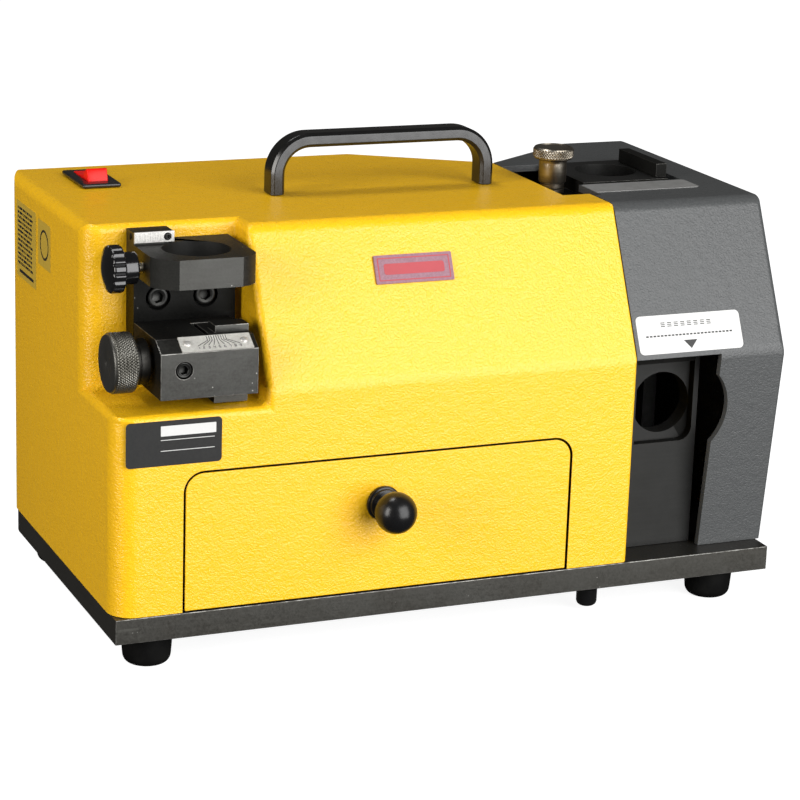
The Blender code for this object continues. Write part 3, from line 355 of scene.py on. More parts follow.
# the shelves' steel, darker and flatter than the rest: partly its own black finish, partly painted shade where the
# shelves sit recessed in the grey cover
SHELF_BLACK_AND_SHADE = blackened("steel_shelf_shaded", (0.011, 0.011, 0.0103), (0.008, 0.008, 0.0074), 0.50, 0.0, (500, 40, 30), 0.3, 0.35, 0.03)
# near-black steel used as painted shade on the walls of bores, screw holes, slots and the gap round the drawer
HOLE_GAP_SHADE = blackened("painted_hole_gap_shade", (0.018, 0.018, 0.017), (0.011, 0.011, 0.010), 0.55, 0.5, (60, 60, 700), 0.0, 0.0)
EDGE = rubbed_edge("steel_edge")
EDGE_DARK = rubbed_edge("steel_edge_dark", (0.075, 0.073, 0.068), (0.028, 0.027, 0.025))
KNURL = turned_metal("steel_knurled", (0.19, 0.185, 0.165), (0.10, 0.095, 0.08), 0.34, 0, 0.95, 500.0)
COLLAR = turned_metal("steel_collar", (0.034, 0.033, 0.030), (0.018, 0.017, 0.015), 0.42, 0, 0.9)
KNOB_FACE = turned_metal("steel_knob_face", (0.13, 0.128, 0.12), (0.08, 0.078, 0.07), 0.42, 0, 0.9)
SCREW = turned_metal("steel_screw", (0.036, 0.036, 0.034), (0.014, 0.014, 0.013), 0.36, 1, 0.85)
BRIGHT = turned_metal("steel_bright", (0.62, 0.61, 0.58), (0.45, 0.44, 0.42), 0.28, 0)
NICKEL = turned_metal("nickel_dull", (0.36, 0.325, 0.27), (0.17, 0.15, 0.118), 0.33, 2, 1.0, 700.0)
NICKEL_X = turned_metal("nickel_stud", (0.60, 0.57, 0.50), (0.40, 0.37, 0.31), 0.30, 0, 1.0, 700.0)
GLOSS = gloss("plastic_black", (0.006, 0.006, 0.0065), (0.02, 0.02, 0.02), 0.15, 0.65)
SATIN = gloss("plastic_satin", (0.006, 0.006, 0.0065), (0.015, 0.015, 0.015), 0.27, 0.36)
ENAMEL = gloss("enamel_black", (0.006, 0.006, 0.006), (0.015, 0.015, 0.015), 0.22, 0.5, 0.00006, 200.0)
BEZEL = gloss("plastic_bezel", (0.012, 0.012, 0.012), (0.03, 0.03, 0.03), 0.28)
RED = gloss("plastic_red", (0.80, 0.010, 0.006), (0.80, 0.03, 0.02), 0.30, 0.2)
RUBBER = rubber("rubber_black")
FROST = plate_metal("plate_frosted", (0.80, 0.79, 0.76), (0.45, 0.44, 0.42), 0.42, 0.55, 420.0, 0.00012)
RULE = plate_metal("plate_rule", (0.78, 0.77, 0.73), (0.64, 0.63, 0.58), 0.40, 0.35, 160.0, 0.00002)
INK = film("ink_dark", (0.012, 0.012, 0.012), (0.03, 0.03, 0.03), 0.45)
PLATE_LILAC = plate_metal("plate_lilac", (0.31, 0.155, 0.20), (0.22, 0.10, 0.13), 0.50, 0.1, 180.0, 0.00002)
INK_RED = film("ink_red", (0.42, 0.022, 0.035), (0.32, 0.035, 0.04), 0.4)
LABEL_WHITE = film("label_white", (0.67, 0.67, 0.66), (0.61, 0.61, 0.59), 0.42)
LABEL_GREY = film("label_print", (0.045, 0.045, 0.045), (0.08, 0.08, 0.08), 0.5, 0.2)
LABEL_BLACK = film("label_black", (0.015, 0.015, 0.015), (0.03, 0.03, 0.028), 0.42, 0.25)
LABEL_SILVER = plate_metal("label_silver", (0.42, 0.42, 0.41), (0.36, 0.36, 0.35), 0.45, 0.5, 120.0, 0.00002)
LABEL_CLEAR = film("label_clear", (0.62, 0.42, 0.05), (0.52, 0.34, 0.03), 0.3)
ZINC = cast("zinc_plate", (0.46, 0.47, 0.47), (0.32, 0.33, 0.34), 0.4, 0.9, 60.0, 0.00003)
# cast parts inside the casings, made very dark: painted shade for the dim inside of the casing
CASTING_SHADED = cast("cast_alloy_shaded", (0.10, 0.10, 0.10), (0.065, 0.065, 0.063))
LAMINATE = cast("rotor_stack", (0.30, 0.26, 0.22), (0.18, 0.15, 0.12), 0.5, 0.8, 900.0, 0.0003)
CERAMIC = film("capacitor_body", (0.72, 0.71, 0.66), (0.60, 0.59, 0.54), 0.45)
WHEEL = abrasive("wheel_grit")


# ========================================================= mesh helpers
def put(name, bm, mats, smooth=32.0):
    """Makes an object of a bmesh in layout millimetres."""
    mats = mats if isinstance(mats, (list, tuple)) else [mats]
    bmesh.ops.recalc_face_normals(bm, faces=bm.faces)
    for v in bm.verts:
        v.co = row(v.co)
    mesh = bpy.data.meshes.new(name)
    bm.to_mesh(mesh)
    bm.free()
    for mat in mats:
        mesh.materials.append(mat)
    obj = bpy.data.objects.new(name, mesh)
    bpy.context.scene.collection.objects.link(obj)
    soften(obj, smooth)
    return obj


def soften(obj, angle=32.0):
    obj.data.shade_smooth()
    obj.data.set_sharp_from_angle(angle=math.radians(angle))


def settle(obj):
    bpy.context.view_layer.update()
    graph = bpy.context.evaluated_depsgraph_get()
    mesh = bpy.data.meshes.new_from_object(obj.evaluated_get(graph))
    obj.modifiers.clear()
    old = obj.data
    obj.data = mesh
    bpy.data.meshes.remove(old)
    mesh.name = obj.name
    return obj


def combine(obj, tools, operation="DIFFERENCE"):
    for tool in tools:
        modifier = obj.modifiers.new("boolean", "BOOLEAN")
        modifier.operation = operation
        modifier.solver = "EXACT"
        modifier.object = tool
        settle(obj)
        bpy.data.objects.remove(tool, do_unlink=True)
    return obj


def tool(bm, mat=None):
    return put("tool", bm, mat or STEEL_BLACK)


def box(lo, hi):
    bm = bmesh.new()
    bmesh.ops.create_cube(bm, size=1.0)
    lo, hi = Vector(lo), Vector(hi)
    bmesh.ops.scale(bm, vec=hi - lo, verts=bm.verts)
    bmesh.ops.translate(bm, vec=(lo + hi) / 2, verts=bm.verts)
    return bm


def at(axis, u, v, w):
    if axis == "X":
        return Vector((w, u, v))
    if axis == "Y":
        return Vector((u, w, v))
    return Vector((u, v, w))


def prism(outline, axis, low, high):
    bm = bmesh.new()
    face = bm.faces.new([bm.verts.new(at(axis, u, v, low)) for u, v in outline])
    grown = bmesh.ops.extrude_face_region(bm, geom=[face])
    tops = [part for part in grown["geom"] if isinstance(part, bmesh.types.BMVert)]
    bmesh.ops.translate(bm, vec=at(axis, 0, 0, high - low), verts=tops)
    return bm


def rod(axis, centre, radius, low, high, sides=64):
    turn = 2 * math.pi / sides
    outline = [
        (centre[0] + radius * math.cos(i * turn), centre[1] + radius * math.sin(i * turn))
        for i in range(sides)
    ]
    return prism(outline, axis, low, high)


def add_turned(bm, axis, centre, profile, sides=64, ring=False, shape=None, mat=0):
    """Turns a profile of (along, radius) into bm. shape(angle, along, radius) may change the radius."""
    turn = 2 * math.pi / sides
    loops = []
    for along, radius in profile:
        count = sides if radius > 0 else 1
        loop = []
        for i in range(count):
            r = shape(i * turn, along, radius) if shape and radius > 0 else radius
            loop.append(
                bm.verts.new(
                    at(axis, centre[0] + r * math.cos(i * turn), centre[1] + r * math.sin(i * turn), along)
                )
            )
        loops.append(loop)
    pairs = list(zip(loops, loops[1:]))
    if ring:
        pairs.append((loops[-1], loops[0]))
    made = []
    for a, b in pairs:
        for i in range(sides):
            j = (i + 1) % sides
            if len(a) == 1 and len(b) == 1:
                continue
            if len(a) == 1:
                made.append(bm.faces.new((a[0], b[j], b[i])))
            elif len(b) == 1:
                made.append(bm.faces.new((a[i], a[j], b[0])))
            else:
                made.append(bm.faces.new((a[i], a[j], b[j], b[i])))
    if not ring:
        for loop in (loops[0], loops[-1]):
            if len(loop) > 1:
                made.append(bm.faces.new(loop))
    for face in made:
        face.material_index = mat
    return bm


def turned(axis, centre, profile, sides=64, ring=False, shape=None):
    return add_turned(bmesh.new(), axis, centre, profile, sides, ring, shape)


def arc(centre, radius, start, end, steps):
    return [
        (
            centre[0] + radius * math.cos(math.radians(start + (end - start) * i / steps)),
            centre[1] + radius * math.sin(math.radians(start + (end - start) * i / steps)),
        )
        for i in range(steps + 1)
    ]


def rounded_rect(u0, v0, u1, v1, r, steps=6):
    return (
        arc((u1 - r, v0 + r), r, -90, 0, steps)
        + arc((u1 - r, v1 - r), r, 0, 90, steps)
        + arc((u0 + r, v1 - r), r, 90, 180, steps)
        + arc((u0 + r, v0 + r), r, 180, 270, steps)
    )


def inset_outline(points, depth):
    count = len(points)
    depths = depth if isinstance(depth, list) else [depth] * count
    lines = []
    for i in range(count):
        p, q = Vector(points[i]), Vector(points[(i + 1) % count])
        along = (q - p).normalized()
        lines.append((p + Vector((-along.y, along.x)) * depths[i], along))
    moved = []
    for i in range(count):
        p, d = lines[i - 1]
        q, e = lines[i]
        cross = d.x * e.y - d.y * e.x
        t = ((q - p).x * e.y - (q - p).y * e.x) / cross
        moved.append(tuple(p + d * t))
    return moved


def on_segment(point, p, q):
    along = q - p
    t = (point - p).dot(along) / along.length_squared
    return (point - (p + along * min(max(t, 0.0), 1.0))).length < 0.05


def round_edges(obj, rules, segments=8):
    """Bevels the edges that lie along given lines, each with its own width."""
    widest = max(width for _, _, width in rules)
    bm = bmesh.new()
    bm.from_mesh(obj.data)
    bmesh.ops.dissolve_limit(bm, angle_limit=math.radians(0.5), verts=bm.verts, edges=bm.edges)
    weights = bm.edges.layers.float.new("bevel_weight_edge")
    for edge in bm.edges:
        ends = [v.co / MM - SHIFT for v in edge.verts]
        for p, q, width in rules:
            if all(on_segment(end, Vector(p), Vector(q)) for end in ends):
                edge[weights] = width / widest
    bm.to_mesh(obj.data)
    bm.free()
    modifier = obj.modifiers.new("round", "BEVEL")
    modifier.limit_method = "WEIGHT"
    modifier.width = widest * MM
    modifier.segments = segments
    modifier.use_clamp_overlap = True
    return settle(obj)


def ease(obj, width, segments=2, angle=38.0, mat=-1, smooth=32.0, apply=True):
    """Breaks an object's sharp edges. mat is the material slot of the broken edge."""
    modifier = obj.modifiers.new("ease", "BEVEL")
    modifier.limit_method = "ANGLE"
    modifier.angle_limit = math.radians(angle)
    modifier.width = width * MM
    modifier.segments = segments
    modifier.material = mat
    modifier.miter_outer = "MITER_ARC" if segments > 2 else "MITER_SHARP"
    if apply:
        settle(obj)
        soften(obj, smooth)
    return obj


def repaint(obj, slot, test):
    """Gives the faces that pass a test (centre and normal, in layout mm) another material slot."""
    for face in obj.data.polygons:
        if test(Vector(face.center) / MM - SHIFT, face.normal):
            face.material_index = slot


def level(obj):
    """Keeps flat faces flat beside their broken edges."""
    modifier = obj.modifiers.new("level", "WEIGHTED_NORMAL")
    modifier.keep_sharp = True
    modifier.weight = 60
    return obj


def ride(obj, body, nodes=()):
    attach(obj, body)
    if nodes:
        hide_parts(*([nodes] if isinstance(nodes, str) else nodes))
    return obj


# ================================================== shared sizes (layout mm)
GAP = 0.3
CASE_X0, CASE_D, CREASE_Z, TOP_Z, TOP_Y, CASE_T = -0.8, 187.0, 106.0, 177.4, 34.8, 3.0
SPLIT_X, FRONT_X, JOG_Y = 252.5, 267.5, 60.0
COVER_X1 = 352.3
VEE_Y, VEE_X0, VEE_X1 = 146.0, 185.0, 314.0
LEAN_Y = 12.0
NOTCH_X, NOTCH_Y, NOTCH_Z = 74.0, 50.0, 98.0
DRAWER_X0, DRAWER_X1, DRAWER_Z1, DRAWER_R = 34.0, 233.3, 68.4, 9.0
MOTOR = (112.0, 80.0)
SHELF_BORE = (295.7, 75.0)
TOP_BORE = (301.6, 110.5)
THUMB = (262.5, 94.0)
HANDLE_Y = 98.3

# ============================================================ yellow cover
section = [(0.0, GAP), (CASE_D, GAP), (CASE_D, TOP_Z), (TOP_Y, TOP_Z), (0.0, CREASE_Z)]
plan = [
    (CASE_X0, -5.0),
    (FRONT_X, -5.0),
    (FRONT_X, JOG_Y),
    (SPLIT_X, JOG_Y),
    (SPLIT_X, VEE_Y),
    (VEE_X0, CASE_D),
    (VEE_X0, CASE_D + 9.0),
    (CASE_X0, CASE_D + 9.0),
]
skin = put("cover_yellow", prism(section, "X", -20.0, 300.0), YELLOW)
combine(skin, [tool(prism(plan, "Z", -30.0, 220.0), YELLOW)], "INTERSECT")
combine(skin, [tool(box((-30, -30, NOTCH_Z), (NOTCH_X, NOTCH_Y, 230)), YELLOW)])
round_edges(
    skin,
    [
        ((CASE_X0, 0, GAP), (CASE_X0, 0, NOTCH_Z), 12.0),
        ((CASE_X0, 0, NOTCH_Z), (NOTCH_X, 0, NOTCH_Z), 3.5),
        ((CASE_X0, 0, NOTCH_Z), (CASE_X0, NOTCH_Y, NOTCH_Z), 3.5),
        ((CASE_X0, NOTCH_Y, NOTCH_Z), (CASE_X0, NOTCH_Y, TOP_Z), 10.0),
        ((CASE_X0, NOTCH_Y, TOP_Z), (NOTCH_X, NOTCH_Y, TOP_Z), 4.0),
        ((CASE_X0, NOTCH_Y, NOTCH_Z), (NOTCH_X, NOTCH_Y, NOTCH_Z), 3.5),
        ((NOTCH_X, NOTCH_Y, NOTCH_Z), (NOTCH_X, NOTCH_Y, TOP_Z), 2.2),
        ((NOTCH_X, 0, NOTCH_Z), (NOTCH_X, NOTCH_Y, NOTCH_Z), 3.5),
        ((NOTCH_X, 0, NOTCH_Z), (NOTCH_X, 0, CREASE_Z), 3.5),
        ((NOTCH_X, 0, CREASE_Z), (NOTCH_X, TOP_Y, TOP_Z), 3.5),
        ((NOTCH_X, TOP_Y, TOP_Z), (NOTCH_X, NOTCH_Y, TOP_Z), 4.0),
        ((NOTCH_X, 0, CREASE_Z), (FRONT_X, 0, CREASE_Z), 3.0),
        ((NOTCH_X, TOP_Y, TOP_Z), (FRONT_X, TOP_Y, TOP_Z), 5.0),
        ((CASE_X0, NOTCH_Y, TOP_Z), (CASE_X0, CASE_D, TOP_Z), 5.5),
        ((CASE_X0, CASE_D, GAP), (CASE_X0, CASE_D, TOP_Z), 16.0),
        ((CASE_X0, CASE_D, TOP_Z), (VEE_X0, CASE_D, TOP_Z), 1.5),
        ((VEE_X0, CASE_D, TOP_Z), (SPLIT_X, VEE_Y, TOP_Z), 1.2),
        ((VEE_X0, CASE_D, GAP), (VEE_X0, CASE_D, TOP_Z), 4.0),
        ((FRONT_X, 0, GAP), (FRONT_X, JOG_Y, GAP), 2.0),
        ((FRONT_X, 0, GAP), (FRONT_X, 0, CREASE_Z), 0.8),
        ((FRONT_X, 0, CREASE_Z), (FRONT_X, TOP_Y, TOP_Z), 0.8),
        ((FRONT_X, TOP_Y, TOP_Z), (FRONT_X, JOG_Y, TOP_Z), 0.8),
        ((SPLIT_X, JOG_Y, TOP_Z), (FRONT_X, JOG_Y, TOP_Z), 0.8),
        ((SPLIT_X, JOG_Y, TOP_Z), (SPLIT_X, VEE_Y, TOP_Z), 0.8),
    ],
    segments=10,
)
inner = inset_outline(section, [0.0] + [CASE_T] * 4)
inner = [(y, z if z > 5 else -5.0) for y, z in inner]
hollow = put("hollow", prism(inner, "X", -20.0, 300.0), YELLOW)
combine(hollow, [tool(prism(inset_outline(plan, CASE_T), "Z", -30.0, 220.0), YELLOW)], "INTERSECT")
combine(hollow, [tool(box((-30, -30, NOTCH_Z - CASE_T), (NOTCH_X + CASE_T, NOTCH_Y + CASE_T, 230)), YELLOW)])
x_in, back_in, top_in = CASE_X0 + CASE_T, CASE_D - CASE_T, TOP_Z - CASE_T
round_edges(
    hollow,
    [
        ((x_in, CASE_T, -5), (x_in, CASE_T, NOTCH_Z - CASE_T), 9.0),
        ((x_in, back_in, -5), (x_in, back_in, top_in), 13.0),
        ((x_in, NOTCH_Y + CASE_T, NOTCH_Z - CASE_T), (x_in, NOTCH_Y + CASE_T, top_in), 7.0),
        ((x_in, NOTCH_Y + CASE_T, top_in), (x_in, back_in, top_in), 3.0),
    ],
    segments=4,
)
combine(skin, [hollow])
drawer_hole = [(DRAWER_X0 - 1.2, -5.0), (DRAWER_X1 + 1.2, -5.0)] + (
    arc((DRAWER_X1 - DRAWER_R, DRAWER_Z1 - DRAWER_R), DRAWER_R + 1.2, 0, 90, 10)
    + arc((DRAWER_X0 + DRAWER_R, DRAWER_Z1 - DRAWER_R), DRAWER_R + 1.2, 90, 180, 10)
)
combine(
    skin,
    [
        tool(prism(drawer_hole, "Y", -6.0, 10.0), YELLOW),
        tool(box((24.7, 132.7, 165), (40.3, 165.3, 190)), YELLOW),
        tool(rod("X", MOTOR, 16.0, 245, 258, 48), YELLOW),
        tool(box((40.0, 178, 27.7), (70.6, 195, 51.3)), YELLOW),
    ],
)
soften(skin, 24)
# the walls of the drawer hole get painted shade: near-black in place of the shadow inside the gap
skin.data.materials.append(HOLE_GAP_SHADE)
repaint(skin, 1, lambda c, n: c.y < 3.2 and c.z < 69.9 and abs(n.y) < 0.5 and DRAWER_X0 - 1.4 < c.x < DRAWER_X1 + 1.4)
level(skin)
ride(skin, "machine", "main_casing")

# ============================================================== grey cover
section = [(LEAN_Y, 0.15), (CASE_D, 0.15), (CASE_D, TOP_Z), (TOP_Y, TOP_Z), (0.0, CREASE_Z)]
GREY_T = 3.5
split, front = SPLIT_X + GAP, FRONT_X + GAP
plan = [
    (front, -5.0),
    (COVER_X1, -5.0),
    (COVER_X1, CASE_D + 9.0),
    (VEE_X1, CASE_D + 9.0),
    (VEE_X1, CASE_D),
    (split, VEE_Y),
    (split, JOG_Y + GAP),
    (front, JOG_Y + GAP),
]
skin = put("cover_grey", prism(section, "X", 200.0, 400.0), GREY)
combine(skin, [tool(prism(plan, "Z", -30.0, 220.0), GREY)], "INTERSECT")
round_edges(
    skin,
    [
        ((front, 0, CREASE_Z), (COVER_X1, 0, CREASE_Z), 3.5),
        ((front, TOP_Y, TOP_Z), (COVER_X1, TOP_Y, TOP_Z), 5.0),
        ((COVER_X1, 0, CREASE_Z), (COVER_X1, TOP_Y, TOP_Z), 3.5),
        ((COVER_X1, LEAN_Y, 0.15), (COVER_X1, 0, CREASE_Z), 1.8),
        ((COVER_X1, TOP_Y, TOP_Z), (COVER_X1, CASE_D, TOP_Z), 2.5),
        ((COVER_X1, CASE_D, 0.15), (COVER_X1, CASE_D, TOP_Z), 15.0),
        ((VEE_X1, CASE_D, TOP_Z), (COVER_X1, CASE_D, TOP_Z), 1.5),
        ((split, VEE_Y, TOP_Z), (VEE_X1, CASE_D, TOP_Z), 1.2),
        ((VEE_X1, CASE_D, 0.15), (VEE_X1, CASE_D, TOP_Z), 4.0),
    ],
    segments=10,
)
inner = inset_outline(section, [0.0] + [GREY_T] * 4)
inner[0] = (inner[0][0] + 0.6, -5.0)
inner[1] = (inner[1][0], -5.0)
slant = Vector((VEE_X1 - split, CASE_D - VEE_Y)).normalized()
foot_of = Vector((VEE_X1, CASE_D)) + Vector((slant.y, -slant.x)) * GREY_T
back_y = CASE_D - GREY_T
knee_x = foot_of.x - (foot_of.y - back_y) / slant.y * slant.x
open_x = split - 12.0
inner_plan = [
    (open_x, -9.0),
    (COVER_X1 - GREY_T, -9.0),
    (COVER_X1 - GREY_T, back_y),
    (knee_x, back_y),
    (open_x, foot_of.y - (foot_of.x - open_x) / slant.x * slant.y),
]
hollow = put("hollow", prism(inner, "X", 200.0, 400.0), GREY)
combine(hollow, [tool(prism(inner_plan, "Z", -30.0, 220.0), GREY)], "INTERSECT")
round_edges(hollow, [((COVER_X1 - GREY_T, back_y, -5), (COVER_X1 - GREY_T, back_y, TOP_Z - GREY_T), 12.0)], segments=4)
combine(skin, [hollow])
combine(
    skin,
    [
        tool(box((248, -20, -5), (315.4, 18, 105.3)), GREY),
        tool(rod("Y", (SHELF_BORE[0], SHELF_BORE[1] + 0.9), 26.6, -20, 18, 96), GREY),
        tool(
            prism(
                [(248, 55), (271.5, 55), (271.5, 81), (331, 81), (331, 135), (248, 135)],
                "Z",
                165.0,
                190.0,
            ),
            GREY,
        ),
    ],
)
ease(skin, 0.35, 2, 50.0, smooth=24)
level(skin)
ride(skin, "machine", "end_casing")

# ============================================================== base plate
plate = put(
    "base_slab",
    prism(
        [(0.0, 0.0), (PLATE_L, 0.0)]
        + arc((PLATE_L - 16, PLATE_D - 16), 16, 0, 90, 12)
        + arc((16, PLATE_D - 16), 16, 90, 180, 12),
        "Z",
        -PLATE_T,
        0.0,
    ),
    [STEEL_SIDE, EDGE],
)
ease(plate, 0.45, 2, 50.0, mat=1)
level(plate)
ride(plate, "machine", "base_plate")

for where in ("front_left", "front_right", "rear_left", "rear_right"):
    low, high = cad("foot_" + where)
    centre = ((low.x + high.x) / 2, (low.y + high.y) / 2)
    z, r = low.z, (high.x - low.x) / 2
    profile = (
        [(high.z, 2.3), (high.z, r - 0.7), (high.z - 0.25, r - 0.2), (high.z - 0.8, r)]
        + [(z + 5.2, r - 0.75)]
        + [
            (z + 4.4 - 4.4 * math.sin(math.radians(a)), r - 0.85 - 3.6 * (1 - math.cos(math.radians(a))))
            for a in range(0, 91, 10)
        ]
        + [(z, r - 5.4), (z + 0.25, r - 5.75), (z + 0.3, 5.4), (z + 0.7, 5.0), (z + 5.9, 5.0), (z + 5.9, 2.3)]
    )
    foot = put("pad_" + where, turned("Z", centre, profile, 72, ring=True), RUBBER)
    ride(foot, "machine", "foot_" + where)
    # steel washer and pan-head screw up inside the foot
    bm = bmesh.new()
    add_turned(bm, "Z", centre, [(z + 5.0, 2.3), (z + 4.8, 2.5), (z + 4.8, 4.6), (z + 5.0, 4.8), (z + 5.7, 4.8), (z + 5.7, 2.3)], 40, ring=True)
    add_turned(
        bm,
        "Z",
        centre,
        [(z + 3.4, 0.0), (z + 3.4, 0.9), (z + 2.7, 0.95), (z + 2.75, 2.0), (z + 3.1, 3.0), (z + 3.9, 3.8), (z + 4.7, 3.9), (z + 4.7, 0.0)],
        40,
    )
    screw = put("pad_screw_" + where, bm, BRIGHT)
    ride(screw, "machine", "foot_screw_" + where)

low, high = cad("base_bolt")
centre = ((low.x + high.x) / 2, (low.y + high.y) / 2)
stud = turned(
    "Z",
    centre,
    [(low.z, 0.0), (low.z, 3.4), (low.z + 0.3, 4.0), (low.z + 1.0, 4.8), (low.z + 2.2, 5.25), (-16.9, 5.3), (-16.3, 4.9), (-15.8, 4.3), (-12.8, 4.3), (-12.8, 0.0)],
    48,
)
ride(put("base_stud", stud, GLOSS), "machine", "base_bolt")

# ============================================================ carry handle
half, deep, cut = 3.6, 6.3, 1.55
ring = [
    (half - cut, -deep),
    (half, -deep + cut),
    (half, deep - cut),
    (half - cut, deep),
    (-half + cut, deep),
    (-half, deep - cut),
    (-half, -deep + cut),
    (-half + cut, -deep),
]
low, high = cad("carry_handle")
hx0, hx1, hz, bend = low.x + half, high.x - half, high.z - half, 17.0
path = [(hx0, TOP_Z + GAP, 90.0)]
path += [(x, z, 90.0 - a) for (x, z), a in zip(arc((hx0 + bend, hz - bend), bend, 180, 90, 20), [4.5 * i for i in range(21)])]
path += [(x, z, 0.0 - a) for (x, z), a in zip(arc((hx1 - bend, hz - bend), bend, 90, 0, 20), [4.5 * i for i in range(21)])]
path += [(hx1, TOP_Z + GAP, -90.0)]
bm = bmesh.new()
loops = []
for x, z, a in path:
    side = Vector((-math.sin(math.radians(a)), math.cos(math.radians(a))))
    loops.append([bm.verts.new((x + side.x * p, HANDLE_Y + q, z + side.y * p)) for p, q in ring])
for a, b in zip(loops, loops[1:]):
    for i in range(8):
        j = (i + 1) % 8
        bm.faces.new((a[i], a[j], b[j], b[i]))
bm.faces.new(loops[0])
bm.faces.new(loops[-1])
grip = put("grip_bar", bm, ENAMEL)
ease(grip, 0.30, 3, 30.0, smooth=20)
level(grip)
ride(grip, "machine", "carry_handle")

# =========================================================== rocker switch
low, high = cad("switch_body")
bezel = put("switch_bezel", box((low.x, low.y, TOP_Z + GAP), (high.x, high.y, 179.9)), BEZEL)
ease(bezel, 1.2, 4, 40.0)
combine(bezel, [tool(box((25.0, 133.0, low.z), (40.0, 165.0, 178.6)), BEZEL)], "UNION")
combine(bezel, [tool(box((26.9, 136.6, 162.0), (38.1, 163.8, 190.0)), BEZEL)])
ease(bezel, 0.25, 2, 50.0)
level(bezel)
ride(bezel, "machine", "switch_body")
side = [(137.4, 170.0), (160.6, 170.0), (163.0, 176.4), (163.0, 179.7), (162.0, 180.3)]
# the two finger faces are slightly hollow
for i in range(1, 9):
    t = i / 9
    side.append((162.0 + (148.9 - 162.0) * t, 180.3 + (181.15 - 180.3) * t - 0.35 * math.sin(math.pi * t)))
side.append((148.6, 181.2))
for i in range(1, 9):
    t = i / 9
    side.append((148.3 + (140.9 - 148.3) * t, 181.35 + (185.5 - 181.35) * t - 0.30 * math.sin(math.pi * t)))
side += [(140.4, 185.65), (139.6, 185.6), (139.05, 185.0), (137.4, 179.0)]
rocker = put("switch_paddle", prism(side, "X", 27.3, 37.7), RED, 40)
ease(rocker, 0.35, 3, 34.0)
ride(rocker, "rocker", "switch_rocker")

# ================================================================== drawer
outline = [(DRAWER_X0, 0.8), (DRAWER_X1, 0.8)] + (
    arc((DRAWER_X1 - DRAWER_R, DRAWER_Z1 - DRAWER_R), DRAWER_R, 0, 90, 14)
    + arc((DRAWER_X0 + DRAWER_R, DRAWER_Z1 - DRAWER_R), DRAWER_R, 90, 180, 14)
)
panel = put("drawer_panel", prism(outline, "Y", 0.0, CASE_T), YELLOW)
ease(panel, 0.5, 4, 50.0)
# the panel's edge faces get painted shade, for the dark line of the gap round the drawer
panel.data.materials.append(HOLE_GAP_SHADE)
repaint(panel, 1, lambda c, n: abs(n.y) < 0.12)
level(panel)
ride(panel, "drawer", "drawer_front")

kx, kz = (DRAWER_X0 + DRAWER_X1) / 2, 45.0
low, high = cad("drawer_knob")
ball_y, ball_r = -16.2, 10.15
profile = [(ball_y - ball_r, 0.0)]
profile += [
    (ball_y - ball_r * math.cos(math.radians(a)), ball_r * math.sin(math.radians(a))) for a in range(6, 151, 6)
]
profile += [(-7.2, 4.75), (-6.4, 4.6), (-5.0, 4.65), (-4.3, 5.0), (-3.9, 5.6)]
profile += [(-3.7, 6.9), (-3.45, 7.3), (-3.0, 7.5), (-2.5, 7.6), (-2.3, 8.3), (-2.0, 8.6), (-1.3, 8.7), (-0.5, 8.7), (-GAP, 8.5), (-GAP, 0.0)]
knob = put("drawer_pull", turned("Y", (kx, kz), profile, 80), SATIN)
ride(knob, "drawer", "drawer_knob")

# ================================================== tool-setting bracket
low, high = cad("setting_bracket")
bx0, bx1, by0, by1 = 20.0, high.x, 38.0, high.y
bore, bore_r, front_y = (46.0, 24.5), 16.2, low.y
nose = [(bx0, 13.4), (20.7, 10.9), (23.1, 7.2), (26.6, 4.1), (30.6, front_y)]
outline = [(bx0, by1)] + nose + [(61.4, front_y), (65.4, 4.1), (68.9, 7.2), (bx1, 10.2), (bx1, by1)]
bracket = put("bracket_body", prism(outline, "Z", 156.0, 170.0), [STEEL_BLACK, EDGE])
combine(
    bracket,
    [
        tool(box((bx0, by0, low.z), (bx1, by1, 160.0))),
        tool(box((bx0, by0, 166.0), (39.5, by1, high.z))),
    ],
    "UNION",
)
combine(
    bracket,
    [
        tool(rod("Z", bore, bore_r, 150, 180, 128)),
        tool(rod("Y", (32.0, 144.1), 6.1, 30, 44, 48)),
        tool(rod("Y", (55.4, 144.1), 6.1, 30, 44, 48)),
        tool(rod("X", (24.5, 162.6), 2.9, 15, 36, 32)),
    ],
)
ease(bracket, 0.32, 2, 21.0, mat=1)


bracket.data.materials.append(STEEL_RECESS_SHADE)
bracket.data.materials.append(HOLE_GAP_SHADE)
bracket.data.materials.append(STEEL_MID_SHADE)
# the bracket's top faces and the nose's left faces get painted shade, a darker copy of the same steel
repaint(bracket, 4, lambda c, n: (n.z > 0.95 and c.z > 168.0) or (n.x < -0.3 and abs(n.z) < 0.2 and c.y < 13.6))
# painted shade on the walls of the two cap-screw holes
for x in (32.0, 55.4):
    repaint(bracket, 3, lambda c, n: abs(math.hypot(c.x - x, c.z - 144.1) - 6.1) < 0.25 and abs(n.y) < 0.3)
# the bracket's back plate below the ring, recessed behind it, gets painted shade
repaint(bracket, 2, lambda c, n: c.z < 156.2 and c.y > 37.0 and (abs(n.y) > 0.9 or abs(n.x) > 0.9))
# painted shade on the wall of the bracket's bore
repaint(bracket, 3, lambda c, n: (Vector((c.x, c.y)) - Vector(bore)).length < bore_r + 0.3 and abs(n.z) < 0.3 and c.z > 155)
level(bracket)
ride(bracket, "machine", "setting_bracket")


def socket(bm_centre, axis_turn, across):
    radius = across / math.sqrt(3)
    return [
        (
            bm_centre[0] + radius * math.cos(math.radians(60 * i + axis_turn)),
            bm_centre[1] + radius * math.sin(math.radians(60 * i + axis_turn)),
        )
        for i in range(6)
    ]


